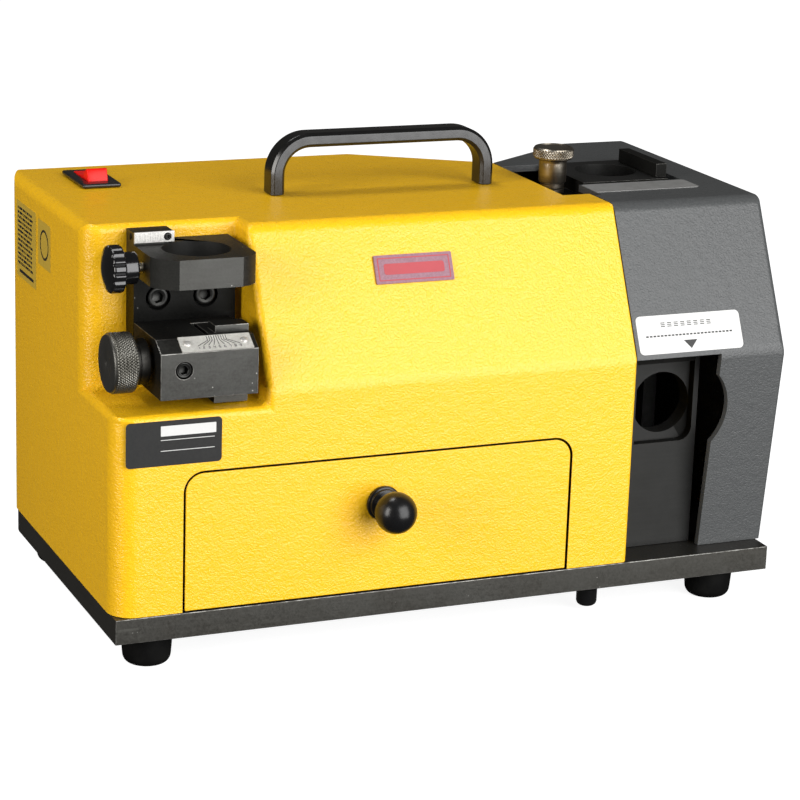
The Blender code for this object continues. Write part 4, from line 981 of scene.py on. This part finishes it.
for side, x, turn in (("left", 32.0, 12.0), ("right", 55.4, 37.0)):
    head = [
        (38.35, 0.0),
        (38.35, 3.2),
        (38.2, 3.5),
        (38.2, 4.3),
        (38.4, 4.75),
        (38.9, 5.0),
        (43.6, 5.0),
        (43.6, 0.0),
    ]
    screw = put("cap_screw_" + side, turned("Y", (x, 144.1), head, 56), SCREW)
    combine(screw, [tool(prism(socket((x, 144.1), turn, 5.0), "Y", 30, 41.6), SCREW)])
    ease(screw, 0.15, 2, 40.0)
    ride(screw, "machine", "bracket_screw_" + side)

low, high = cad("bracket_scale")
scale = put("stub_plate", box(low, high), FROST)
combine(scale, [tool(rod("Y", (36.0, 173.5), 1.85, 30, 44, 32), FROST)])
ease(scale, 0.15, 2, 40.0)
level(scale)
ride(scale, "machine", "bracket_scale")
# faint raised graduations on it
bm = bmesh.new()
for i in range(9):
    x = 22.9 + 1.25 * i
    part = box((x, low.y - 0.05, 172.0 if i % 2 else 171.7), (x + 0.42, low.y + 0.05, 174.8 if i % 2 else 175.4))
    mesh = bpy.data.meshes.new("t")
    part.to_mesh(mesh)
    part.free()
    bm.from_mesh(mesh)
    bpy.data.meshes.remove(mesh)
ride(put("stub_plate_marks", bm, RULE), "machine")
head = [(36.05, 0.0), (36.05, 1.15), (36.15, 1.45), (36.5, 1.6), (37.7, 1.6), (37.7, 0.0)]
screw = put("stub_screw", turned("Y", (36.0, 173.5), head, 32), SCREW)
combine(screw, [tool(prism(socket((36.0, 173.5), 0, 1.5), "Y", 30, 37.2), SCREW)])
ride(screw, "machine", "scale_screw")
# side grub screw in the bracket's stub
bm = turned("X", (43.6, 172.9), [(19.4, 0.0), (19.4, 1.3), (19.55, 1.6), (20.4, 1.7), (20.4, 0.0)], 28)
ride(put("stub_side_screw", bm, SCREW), "machine")

# ------------------------------------------------- fluted clamp knob
axis_at = (24.5, 162.6)
FLUTES = 16


def fluted(angle, along, radius):
    if radius < 9.9 or along > 10.0:
        return radius
    wave = abs(math.sin(angle * FLUTES / 2))
    dip = 1.0 * (1.0 - min(1.0, wave * 1.45)) ** 0.9
    edge = max(0.0, 1.0 - abs(along - 6.7) / 4.3)
    return radius - dip * min(1.0, edge * 2.4)


profile = [(0.7, 0.0), (0.8, 2.0), (1.1, 4.0), (1.55, 5.8), (2.15, 7.6)]
profile += [(2.75 + 1.5 * (1 - math.cos(math.radians(a))), 9.0 + 2.2 * math.sin(math.radians(a))) for a in (0, 20, 40, 60, 75, 90)]
profile += [(along, 11.2) for along in (5.2, 6.2, 7.2, 8.2)]
profile += [(8.9, 11.1), (9.4, 10.7), (9.6, 10.1), (9.65, 9.2)]
profile += [(9.75, 7.9), (10.0, 7.65), (10.6, 7.6), (15.6, 7.6), (16.3, 7.4), (16.6, 6.9), (16.7, 6.2), (16.7, 0.0)]
knob = put("clamp_grip", turned("X", axis_at, profile, FLUTES * 12, shape=fluted), GLOSS, 50)
ride(knob, "clamp_screw", "clamp_knob")
# threaded stud between knob and bracket
profile = [(8.4, 0.0), (8.4, 2.0), (16.3, 2.0)]
along = 16.3
while along < 24.2:
    profile += [(along, 2.05), (along + 0.35, 2.5), (along + 0.5, 2.5), (along + 0.85, 2.05)]
    along += 1.0
profile += [(24.6, 2.0), (24.6, 0.0)]
ride(put("clamp_thread", turned("X", axis_at, profile, 40), NICKEL_X, 50), "clamp_screw", "clamp_stud")
low, high = cad("clamp_pad")
profile = [(low.x, 0.0), (low.x, 2.3), (low.x + 0.2, 2.5), (high.x - 0.9, 2.5), (high.x - 0.3, 2.25), (high.x, 1.7), (high.x, 0.0)]
ride(put("clamp_foot", turned("X", axis_at, profile, 40), BRIGHT), "clamp_tip", "clamp_pad")

# ------------------------------------------------------- setting block
low, high = cad("setting_block")
slope_line = [(low.y, 128.0), (4.7, high.z)]
block = put(
    "block_body",
    prism([(low.y, low.z), (37.7, low.z), (37.7, high.z), slope_line[1], slope_line[0]], "X", low.x, high.x),
    [STEEL_BLACK, EDGE],
)
screw_axis = (15.0, 120.6)
combine(
    block,
    [
        tool(box((45.2, 9.6, 90), (80, 29.5, 150))),
        tool(rod("X", screw_axis, 3.3, 10, 50, 40)),
        tool(rod("Y", (31.4, 119.7), 4.1, -10, 3.0, 48)),
    ],
)
ease(block, 0.35, 2, 30.0, mat=1)
block.data.materials.append(STEEL_SHADE)
block.data.materials.append(HOLE_GAP_SHADE)
repaint(block, 2, lambda c, n: n.x < -0.95 or n.z > 0.95)
# the side walls of the jaw slot get painted shade
repaint(block, 3, lambda c, n: 45.0 < c.x < 68.0 and 9.4 < c.y < 29.7 and abs(n.z) < 0.3 and c.z > 106.5)
level(block)
ride(block, "machine", "setting_block")
profile = [(-2.6, 0.0), (-2.6, 2.5), (-2.9, 2.9), (-3.0, 3.3), (-2.7, 3.75), (-2.2, 3.9), (2.6, 3.9), (2.6, 0.0)]
screw = put("block_grub", turned("Y", (31.4, 119.7), profile, 48), SCREW)
combine(screw, [tool(prism(socket((31.4, 119.7), 8, 4.0), "Y", -10, 0.8), SCREW)])
ease(screw, 0.15, 2, 40.0)
ride(screw, "machine", "block_set_screw")

jaw = put("jaw_body", box((47.4, 10.0, 106.4), (67.2, 29.1, 132.8)), [STEEL_BLACK, EDGE])
combine(jaw, [tool(box((50.6, 10.0, 98.8), (67.2, 20.0, 136.3)))], "UNION")
combine(jaw, [tool(rod("X", screw_axis, 3.2, 40, 80, 40))])
ease(jaw, 0.3, 2, 38.0, mat=1)
jaw.data.materials.append(STEEL_SHADE)
repaint(jaw, 2, lambda c, n: n.x < -0.95 or n.z > 0.95)
level(jaw)
ride(jaw, "jaw", "sliding_jaw")


# -------------------------------------------------- knurled surfaces
def knurl(count, lead, depth):
    """Height of a diamond knurl: two sets of helical grooves, count round the rim."""

    def height(angle, along):
        a = (count * angle / (2 * math.pi) + along * lead) % 1.0
        b = (count * angle / (2 * math.pi) - along * lead) % 1.0
        return depth * (1 - min(abs(2 * a - 1), abs(2 * b - 1)) ** 1.3 * 0 - max(abs(2 * a - 1), abs(2 * b - 1)) ** 1.6)

    return height


def knurled_rim(bm, axis, centre, radius, start, end, count, lead, depth, mat=0, per=8, step=0.2):
    height = knurl(count, lead, depth)
    rows = int((end - start) / step)
    profile = [(start - 0.35, radius - 0.6)]
    profile += [(start + (end - start) * i / rows, radius) for i in range(rows + 1)]
    profile += [(end + 0.35, radius - 0.6)]

    def shape(angle, along, r):
        if r < radius - 0.1:
            return r
        fade = min(1.0, (along - start + 0.02) / 0.5, (end - along + 0.02) / 0.5)
        return radius - depth + height(angle, along) * max(0.0, fade)

    return add_turned(bm, axis, centre, profile, count * per, shape=shape, mat=mat)


bm = bmesh.new()
knurled_rim(bm, "X", screw_axis, 14.25, 1.1, 11.1, 66, 0.56, 0.46, 0)
add_turned(
    bm,
    "X",
    screw_axis,
    [(0.15, 0.0), (0.15, 1.2), (0.35, 1.5), (-0.05, 2.0), (-0.18, 9.0), (-0.2, 12.6), (-0.05, 13.1), (0.5, 13.6), (1.1, 13.75), (11.1, 13.75), (11.5, 13.4), (11.7, 12.9), (11.7, 3.2), (4.0, 3.2), (4.0, 0.0)],
    96,
    mat=1,
)
ride(put("adjust_dial", bm, [KNURL, KNOB_FACE], 40), "adjuster", "adjust_knob")
bm = turned(
    "X",
    screw_axis,
    [(12.0, 3.2), (12.0, 10.2), (12.3, 10.6), (13.4, 10.7), (13.7, 11.0), (17.5, 11.0), (18.0, 10.8), (18.2, 10.4), (18.2, 3.2)],
    80,
    ring=True,
)
ride(put("adjust_ring", bm, COLLAR), "adjuster", "adjust_collar")
profile = [(4.4, 0.0), (4.4, 2.6), (19.0, 2.6)]
along = 19.2
while along < 65.6:
    profile += [(along, 2.5), (along + 0.35, 2.9), (along + 0.5, 2.9), (along + 0.85, 2.5)]
    along += 1.0
profile += [(66.4, 2.5), (66.8, 2.1), (66.8, 0.0)]
ride(put("adjust_thread", turned("X", screw_axis, profile, 36), BRIGHT, 50), "adjuster", "lead_screw")

# --------------------------------------------- graduated plate on the block
facet = (Vector(slope_line[1]) - Vector(slope_line[0])).normalized()
out2 = Vector((-facet.y, facet.x))


class Plane:
    """A flat face to put thin things on: origin, across, up and outward directions."""

    def __init__(self, origin, across, up):
        self.o = Vector(origin)
        self.u = Vector(across).normalized()
        self.v = Vector(up).normalized()
        self.n = self.u.cross(self.v).normalized()

    def point(self, u, v, h=0.0):
        return self.o + self.u * u + self.v * v + self.n * h

    def slab(self, bm, outline, low, high, mat=0):
        """A flat prism standing on the face between two heights."""
        bottom = [bm.verts.new(self.point(u, v, low)) for u, v in outline]
        top = [bm.verts.new(self.point(u, v, high)) for u, v in outline]
        made = [bm.faces.new(list(reversed(bottom))), bm.faces.new(top)]
        count = len(outline)
        for i in range(count):
            j = (i + 1) % count
            made.append(bm.faces.new((bottom[i], bottom[j], top[j], top[i])))
        for face in made:
            face.material_index = mat
        return bm

    def bar(self, bm, a, b, width, low, high, mat=0):
        """A straight stroke from a to b."""
        a, b = Vector(a), Vector(b)
        side = (b - a).normalized()
        side = Vector((-side.y, side.x)) * width / 2
        return self.slab(bm, [tuple(a - side), tuple(b - side), tuple(b + side), tuple(a + side)], low, high, mat)


block_face = Plane((0.0, slope_line[0][0], slope_line[0][1]), (1, 0, 0), (0, facet.x, facet.y))
bm = bmesh.new()
length = (Vector(slope_line[1]) - Vector(slope_line[0])).length
block_face.slab(bm, rounded_rect(30.3, -0.15, 65.0, length - 0.25, 0.25, 3), GAP, GAP + 0.6)
ride(put("rule_plate", bm, RULE), "machine", "block_scale")
bm = bmesh.new()
h0, h1 = GAP + 0.58, GAP + 0.66
for i in range(9):
    foot, head = 38.6 + 2.55 * i, 44.0 + 1.15 * i
    block_face.bar(bm, (foot, 3.1), (head, 6.2), 0.28, h0, h1)
    block_face.bar(bm, (head, 6.1), (head, 9.0), 0.28, h0, h1)
# generic digits 1 to 9 under the lines, from plain strokes
SEGMENTS = {
    1: "bc", 2: "abged", 3: "abgcd", 4: "fgbc", 5: "afgcd",
    6: "afgedc", 7: "abc", 8: "abcdefg", 9: "abcdfg",
}
STROKES = {
    "a": ((0, 2), (1, 2)), "b": ((1, 2), (1, 1)), "c": ((1, 1), (1, 0)), "d": ((0, 0), (1, 0)),
    "e": ((0, 0), (0, 1)), "f": ((0, 1), (0, 2)), "g": ((0, 1), (1, 1)),
}
for i in range(9):
    left = 38.2 + 2.55 * i
    for key in SEGMENTS[i + 1]:
        (p, q), (r, s) = STROKES[key]
        block_face.bar(bm, (left + p * 0.75, 1.2 + q * 0.62), (left + r * 0.75, 1.2 + s * 0.62), 0.2, h0, h1)
ride(put("rule_marks", bm, INK), "machine")
for side, x in (("left", 33.9), ("right", 61.4)):
    bm = bmesh.new()
    rings = []
    for h, r in [(0.0, 1.85), (0.25, 1.82), (0.55, 1.6), (0.8, 1.2), (0.95, 0.6)]:
        rings.append(
            [
                bm.verts.new(block_face.point(x + r * math.cos(2 * math.pi * i / 32), 4.85 + r * math.sin(2 * math.pi * i / 32), GAP + 0.6 + h))
                for i in range(32)
            ]
        )
    for a, b in zip(rings, rings[1:]):
        for i in range(32):
            j = (i + 1) % 32
            bm.faces.new((a[i], a[j], b[j], b[i]))
    bm.faces.new(rings[-1])
    bm.faces.new(list(reversed(rings[0])))
    ride(put("rule_rivet_" + side, bm, FROST, 60), "machine", "scale_rivet_" + side)

# ========================================================= grinding shelves
low, high = cad("front_shelf")
shelf = put("shelf_front", box(low, high), [SHELF_BLACK_AND_SHADE, EDGE_DARK])
pocket = [(279.0, 55.2)] + arc((311.6 - 7, 55.2 + 7), 7, -90, 0, 10) + [(311.6, 97.0), (279.0, 97.0)]
combine(
    shelf,
    [
        tool(prism(pocket, "Y", 10.0, low.y + 5.0)),
        tool(rod("Y", SHELF_BORE, 15.9, 10.0, 45.0, 128)),
    ],
)
ease(shelf, 0.3, 2, 40.0, mat=1)
shelf.data.materials.append(HOLE_GAP_SHADE)
# painted shade on the wall of the front shelf's bore
repaint(shelf, 2, lambda c, n: (Vector((c.x, c.z)) - Vector(SHELF_BORE)).length < 16.1)
level(shelf)
ride(shelf, "machine", "front_shelf")

shelf = put("shelf_top", box((275.2, 83.0, 164.0), (324.3, 134.0, 177.9)), [SHELF_BLACK_AND_SHADE, EDGE_DARK])
combine(shelf, [tool(box((254.8, 84.0, 158.0), (280.0, 104.5, 171.0)))], "UNION")
combine(
    shelf,
    [tool(rod("Z", TOP_BORE, 16.2, 150, 190, 128)), tool(rod("Z", THUMB, 3.3, 150, 190, 32))],
)
ease(shelf, 0.3, 2, 40.0, mat=1)
shelf.data.materials.append(HOLE_GAP_SHADE)
# painted shade on the wall of the top shelf's bore
repaint(shelf, 2, lambda c, n: (Vector((c.x, c.y)) - Vector(TOP_BORE)).length < 16.4)
level(shelf)
ride(shelf, "machine", "top_shelf")
low, high = cad("stop_bar")
bar = put("shelf_stop", box(low, high), [SHELF_BLACK_AND_SHADE, EDGE_DARK])
ease(bar, 0.3, 2, 40.0, mat=1)
level(bar)
ride(bar, "machine", "stop_bar")

# ------------------------------------------------------------ thumb screw
bm = bmesh.new()
knurled_rim(bm, "Z", THUMB, 10.5, 190.1, 194.6, 44, 0.60, 0.52, 0, 8, 0.16)
add_turned(
    bm,
    "Z",
    THUMB,
    [
        (161.5, 0.0), (161.5, 2.9), (174.2, 2.9), (174.2, 5.9), (174.45, 6.2), (176.3, 6.2), (176.6, 5.8),
        (176.9, 5.8), (177.15, 6.9), (177.5, 7.15), (187.0, 7.15), (188.3, 7.3), (189.1, 7.9), (189.3, 9.4),
        (189.8, 9.9), (194.9, 9.9), (195.25, 9.6), (195.35, 9.2), (195.2, 8.6), (194.4, 8.3), (194.1, 7.9),
        (194.1, 6.3), (193.8, 6.1), (193.8, 5.5), (194.1, 5.3), (194.1, 2.2), (193.6, 1.9), (193.0, 0.0),
    ],
    96,
    mat=0,
)
ride(put("thumb_head", bm, [NICKEL], 40), "thumb", "thumb_screw")
bm = turned("Z", THUMB, [(171.3, 3.3), (171.3, 6.0), (171.6, 6.3), (172.4, 6.3), (172.6, 6.0), (172.8, 6.3), (173.6, 6.3), (173.9, 6.0), (173.9, 3.3)], 72, ring=True)
ride(put("thumb_rings", bm, NICKEL), "machine", "thumb_washer")

# ================================================================== labels
rise = Vector((0, TOP_Y, TOP_Z - CREASE_Z)).normalized()
slope = Plane((0, 0, CREASE_Z), (1, 0, 0), rise)
front_face = Plane((0, 0, 0), (1, 0, 0), (0, 0, 1))
top_face = Plane((0, 0, TOP_Z), (1, 0, 0), (0, 1, 0))
left_face = Plane((CASE_X0, 0, 0), (0, -1, 0), (0, 0, 1))

# name plate: blank, with a red line round it
bm = bmesh.new()
slope.slab(bm, rounded_rect(135.2, 46.4, 175.7, 60.4, 0.6), GAP, GAP + 0.8, 0)
for a, b in (
    ((137.0, 48.0), (173.9, 48.0)), ((173.9, 48.0), (173.9, 58.8)),
    ((173.9, 58.8), (137.0, 58.8)), ((137.0, 58.8), (137.0, 48.0)),
):
    slope.bar(bm, a, b, 0.55, GAP + 0.78, GAP + 0.86, 1)
slope.slab(bm, rounded_rect(139.8, 50.7, 171.2, 56.1, 1.2), GAP + 0.78, GAP + 0.88, 1)
ride(put("blank_name_plate", bm, [PLATE_LILAC, INK_RED]), "machine", "name_plate")

# white label over the window, with a plain pointer and two blank bars
bm = bmesh.new()
slope.slab(bm, rounded_rect(269.7, 1.9, 328.0, 21.4, 2.4), 0.0, 0.18, 0)
slope.slab(bm, [(298.6, 3.6), (302.4, 8.0), (294.8, 8.0)], 0.17, 0.24, 1)
for i in range(8):
    for v in (15.6, 16.5, 17.4):
        slope.bar(bm, (283.2 + 3.7 * i, v), (285.5 + 3.7 * i, v), 0.42, 0.17, 0.23, 1)
for i in range(24):
    slope.bar(bm, (274.2 + 2.05 * i, 10.9), (275.6 + 2.05 * i, 10.9), 0.8, 0.17, 0.23, 1)
ride(put("window_label", bm, [LABEL_WHITE, LABEL_GREY]), "machine")

# black label on the lower front
bm = bmesh.new()
front_face.slab(bm, rounded_rect(4.6, 73.8, 51.2, 95.5, 2.0), 0.0, 0.18, 0)
front_face.slab(bm, rounded_rect(21.4, 88.1, 48.3, 93.0, 0.3), 0.17, 0.25, 1)
for z in (86.2, 81.0):
    front_face.bar(bm, (21.4, z), (47.6, z), 0.3, 0.17, 0.23, 1)
ride(put("data_label", bm, [LABEL_BLACK, LABEL_WHITE]), "machine")

# silver label on the grey top
bm = bmesh.new()
top_face.slab(bm, [(272.6, 61.2), (330.0, 61.2), (331.6, 62.8), (331.6, 78.6), (330.2, 80.0), (273.4, 80.0), (272.2, 78.8), (272.0, 61.8)], 0.0, 0.16, 0)
ride(put("top_label", bm, LABEL_SILVER), "machine")

# two clear films on the left side: rows of plain dashes, and a plain ring
DASHES = (
    "3121413", "1224131", "4113212", "2131142", "1412231", "3211413", "1132141",
    "2413112", "1321421", "4112213", "1214132", "2311314", "1431212",
)
bm = bmesh.new()
left_face.slab(bm, rounded_rect(-168.0, 127.3, -132.0, 166.3, 0.8), 0.0, 0.12, 0)
left_face.slab(bm, rounded_rect(-128.0, 142.0, -105.8, 165.0, 0.8), 0.0, 0.12, 0)
for i, runs in enumerate(DASHES):
    at_u, z = -165.6, 134.6 + 2.35 * i
    for j, run in enumerate(runs):
        length = 1.45 * int(run)
        left_face.bar(bm, (at_u, z), (min(at_u + length, -134.0), z), 1.25, 0.11, 0.17, 1)
        at_u += length + 0.95
        if at_u > -135.0:
            break
left_face.bar(bm, (-163.0, 130.6), (-137.0, 130.6), 1.6, 0.11, 0.17, 1)
outer = arc((-116.9, 153.5), 7.6, 0, 360, 48)[:-1]
inner = arc((-116.9, 153.5), 6.4, 0, 360, 48)[:-1]
for i in range(48):
    j = (i + 1) % 48
    left_face.slab(bm, [inner[i], outer[i], outer[j], inner[j]], 0.11, 0.17, 1)
ride(put("side_films", bm, [LABEL_CLEAR, INK]), "machine")

# ============================================== carried CAD nodes' finishes
# the cast parts inside carry a very dark finish that is painted shade of the casing's inside
finish = {
    "handle_screw_left": BRIGHT, "handle_screw_right": BRIGHT, "drawer_tray": ZINC,
    "drawer_rail_left": ZINC, "drawer_rail_right": ZINC, "thumb_tip": BRIGHT,
    "shelf_post": CASTING_SHADED, "motor_housing": CASTING_SHADED, "motor_bell_left": CASTING_SHADED,
    "motor_bell_right": CASTING_SHADED, "bearing_left": BRIGHT, "bearing_right": BRIGHT,
    "motor_shaft": BRIGHT, "rotor": LAMINATE, "motor_mount": CASTING_SHADED,
    "run_capacitor": CERAMIC, "wheel_flange": BRIGHT, "grinding_wheel": WHEEL,
    "wheel_nut": BRIGHT, "mains_inlet": BEZEL,
}
for name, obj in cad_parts.items():
    if obj.hide_render:
        continue
    if name not in finish:
        print("no finish for", name)
    obj.data.materials.clear()
    obj.data.materials.append(finish.get(name, CASTING_SHADED))

# ============================================================ floor, light
# The floor that shows, which only takes the shadow
def ground(name, half, z, seen):
    bm = bmesh.new()
    bmesh.ops.create_grid(bm, x_segments=8, y_segments=8, size=half)
    mesh = bpy.data.meshes.new(name)
    bm.to_mesh(mesh)
    bm.free()
    obj = bpy.data.objects.new(name, mesh)
    obj.location = (0, 0, z)
    bpy.context.scene.collection.objects.link(obj)
    obj.visible_camera = seen
    obj.visible_glossy = obj.visible_diffuse = not seen
    obj.visible_shadow = obj.visible_transmission = False
    return mesh, obj


g = Graph("studio_floor")
g.set(base=(0.42, 0.42, 0.42, 1.0), rough=0.9, spec=0.0)
away = g.add("ShaderNodeVectorMath", operation="LENGTH")
g.link(g.coords, "Object", away, 0)
lift = g.span(away, "Value", 0.22, 0.60, 0.90, 1.0)
g.shader.inputs["Emission Color"].default_value = (1, 1, 1, 1)
g.feed(lift, "Result", "Emission Strength")
mesh, floor = ground("studio_floor", 12.0, cad_box[0].z - 0.0003, True)
mesh.materials.append(g.material)

world = bpy.data.worlds.new("studio")
bpy.context.scene.world = world
world.use_nodes = True
tree = world.node_tree
tree.nodes.clear()
out = tree.nodes.new("ShaderNodeOutputWorld")
seen = tree.nodes.new("ShaderNodeBackground")
seen.inputs["Color"].default_value = (1, 1, 1, 1)
seen.inputs["Strength"].default_value = 1.0
lit = tree.nodes.new("ShaderNodeBackground")
lit.inputs["Color"].default_value = (1.0, 0.97, 0.93, 1)
lit.inputs["Strength"].default_value = 0.055
which = tree.nodes.new("ShaderNodeLightPath")
mix = tree.nodes.new("ShaderNodeMixShader")
tree.links.new(which.outputs["Is Camera Ray"], mix.inputs["Fac"])
tree.links.new(lit.outputs[0], mix.inputs[1])
tree.links.new(seen.outputs[0], mix.inputs[2])
tree.links.new(mix.outputs[0], out.inputs["Surface"])


def softbox(name, direction, distance, wide, tall, power, colour=(1, 1, 1)):
    light = bpy.data.lights.new(name, "AREA")
    light.shape = "RECTANGLE"
    light.size, light.size_y = wide, tall
    light.energy = power
    light.color = colour
    obj = bpy.data.objects.new(name, light)
    toward = Vector(direction).normalized()
    centre = Vector((0.0, 0.0, 0.11))
    obj.location = centre + toward * distance
    obj.rotation_euler = (-toward).to_track_quat("-Z", "Y").to_euler()
    bpy.context.scene.collection.objects.link(obj)
    return obj


softbox("key", (0.36, -0.89, 0.268), 1.7, 1.5, 1.75, 48.5)
softbox("overhead", (-0.231, 0.203, 0.952), 1.3, 0.35, 0.35, 4.5)
softbox("left_strip", (-0.909, -0.333, 0.245), 1.4, 0.45, 0.9, 13.0, (1.0, 0.97, 0.93))

# ================================================================== camera
camera = bpy.data.cameras.new("photo_view")
camera.sensor_width = 36.0
camera.lens = 2690.835 / 800 * 36.0
camera.clip_start, camera.clip_end = 0.05, 60.0
view = bpy.data.objects.new("photo_view", camera)
forward = Vector((0.380752, 0.881844, -0.278168)).normalized()
right = Vector((0.921281, -0.387540, 0.032470))
right = (right - forward * right.dot(forward)).normalized()
up = right.cross(forward)
turn = Matrix((right, up, -forward)).transposed().to_4x4()
view.matrix_world = Matrix.Translation(row((-347.471, -1130.659, 452.477))) @ turn
bpy.context.scene.collection.objects.link(view)
bpy.context.scene.camera = view
bpy.context.scene.view_settings.view_transform = "Standard"
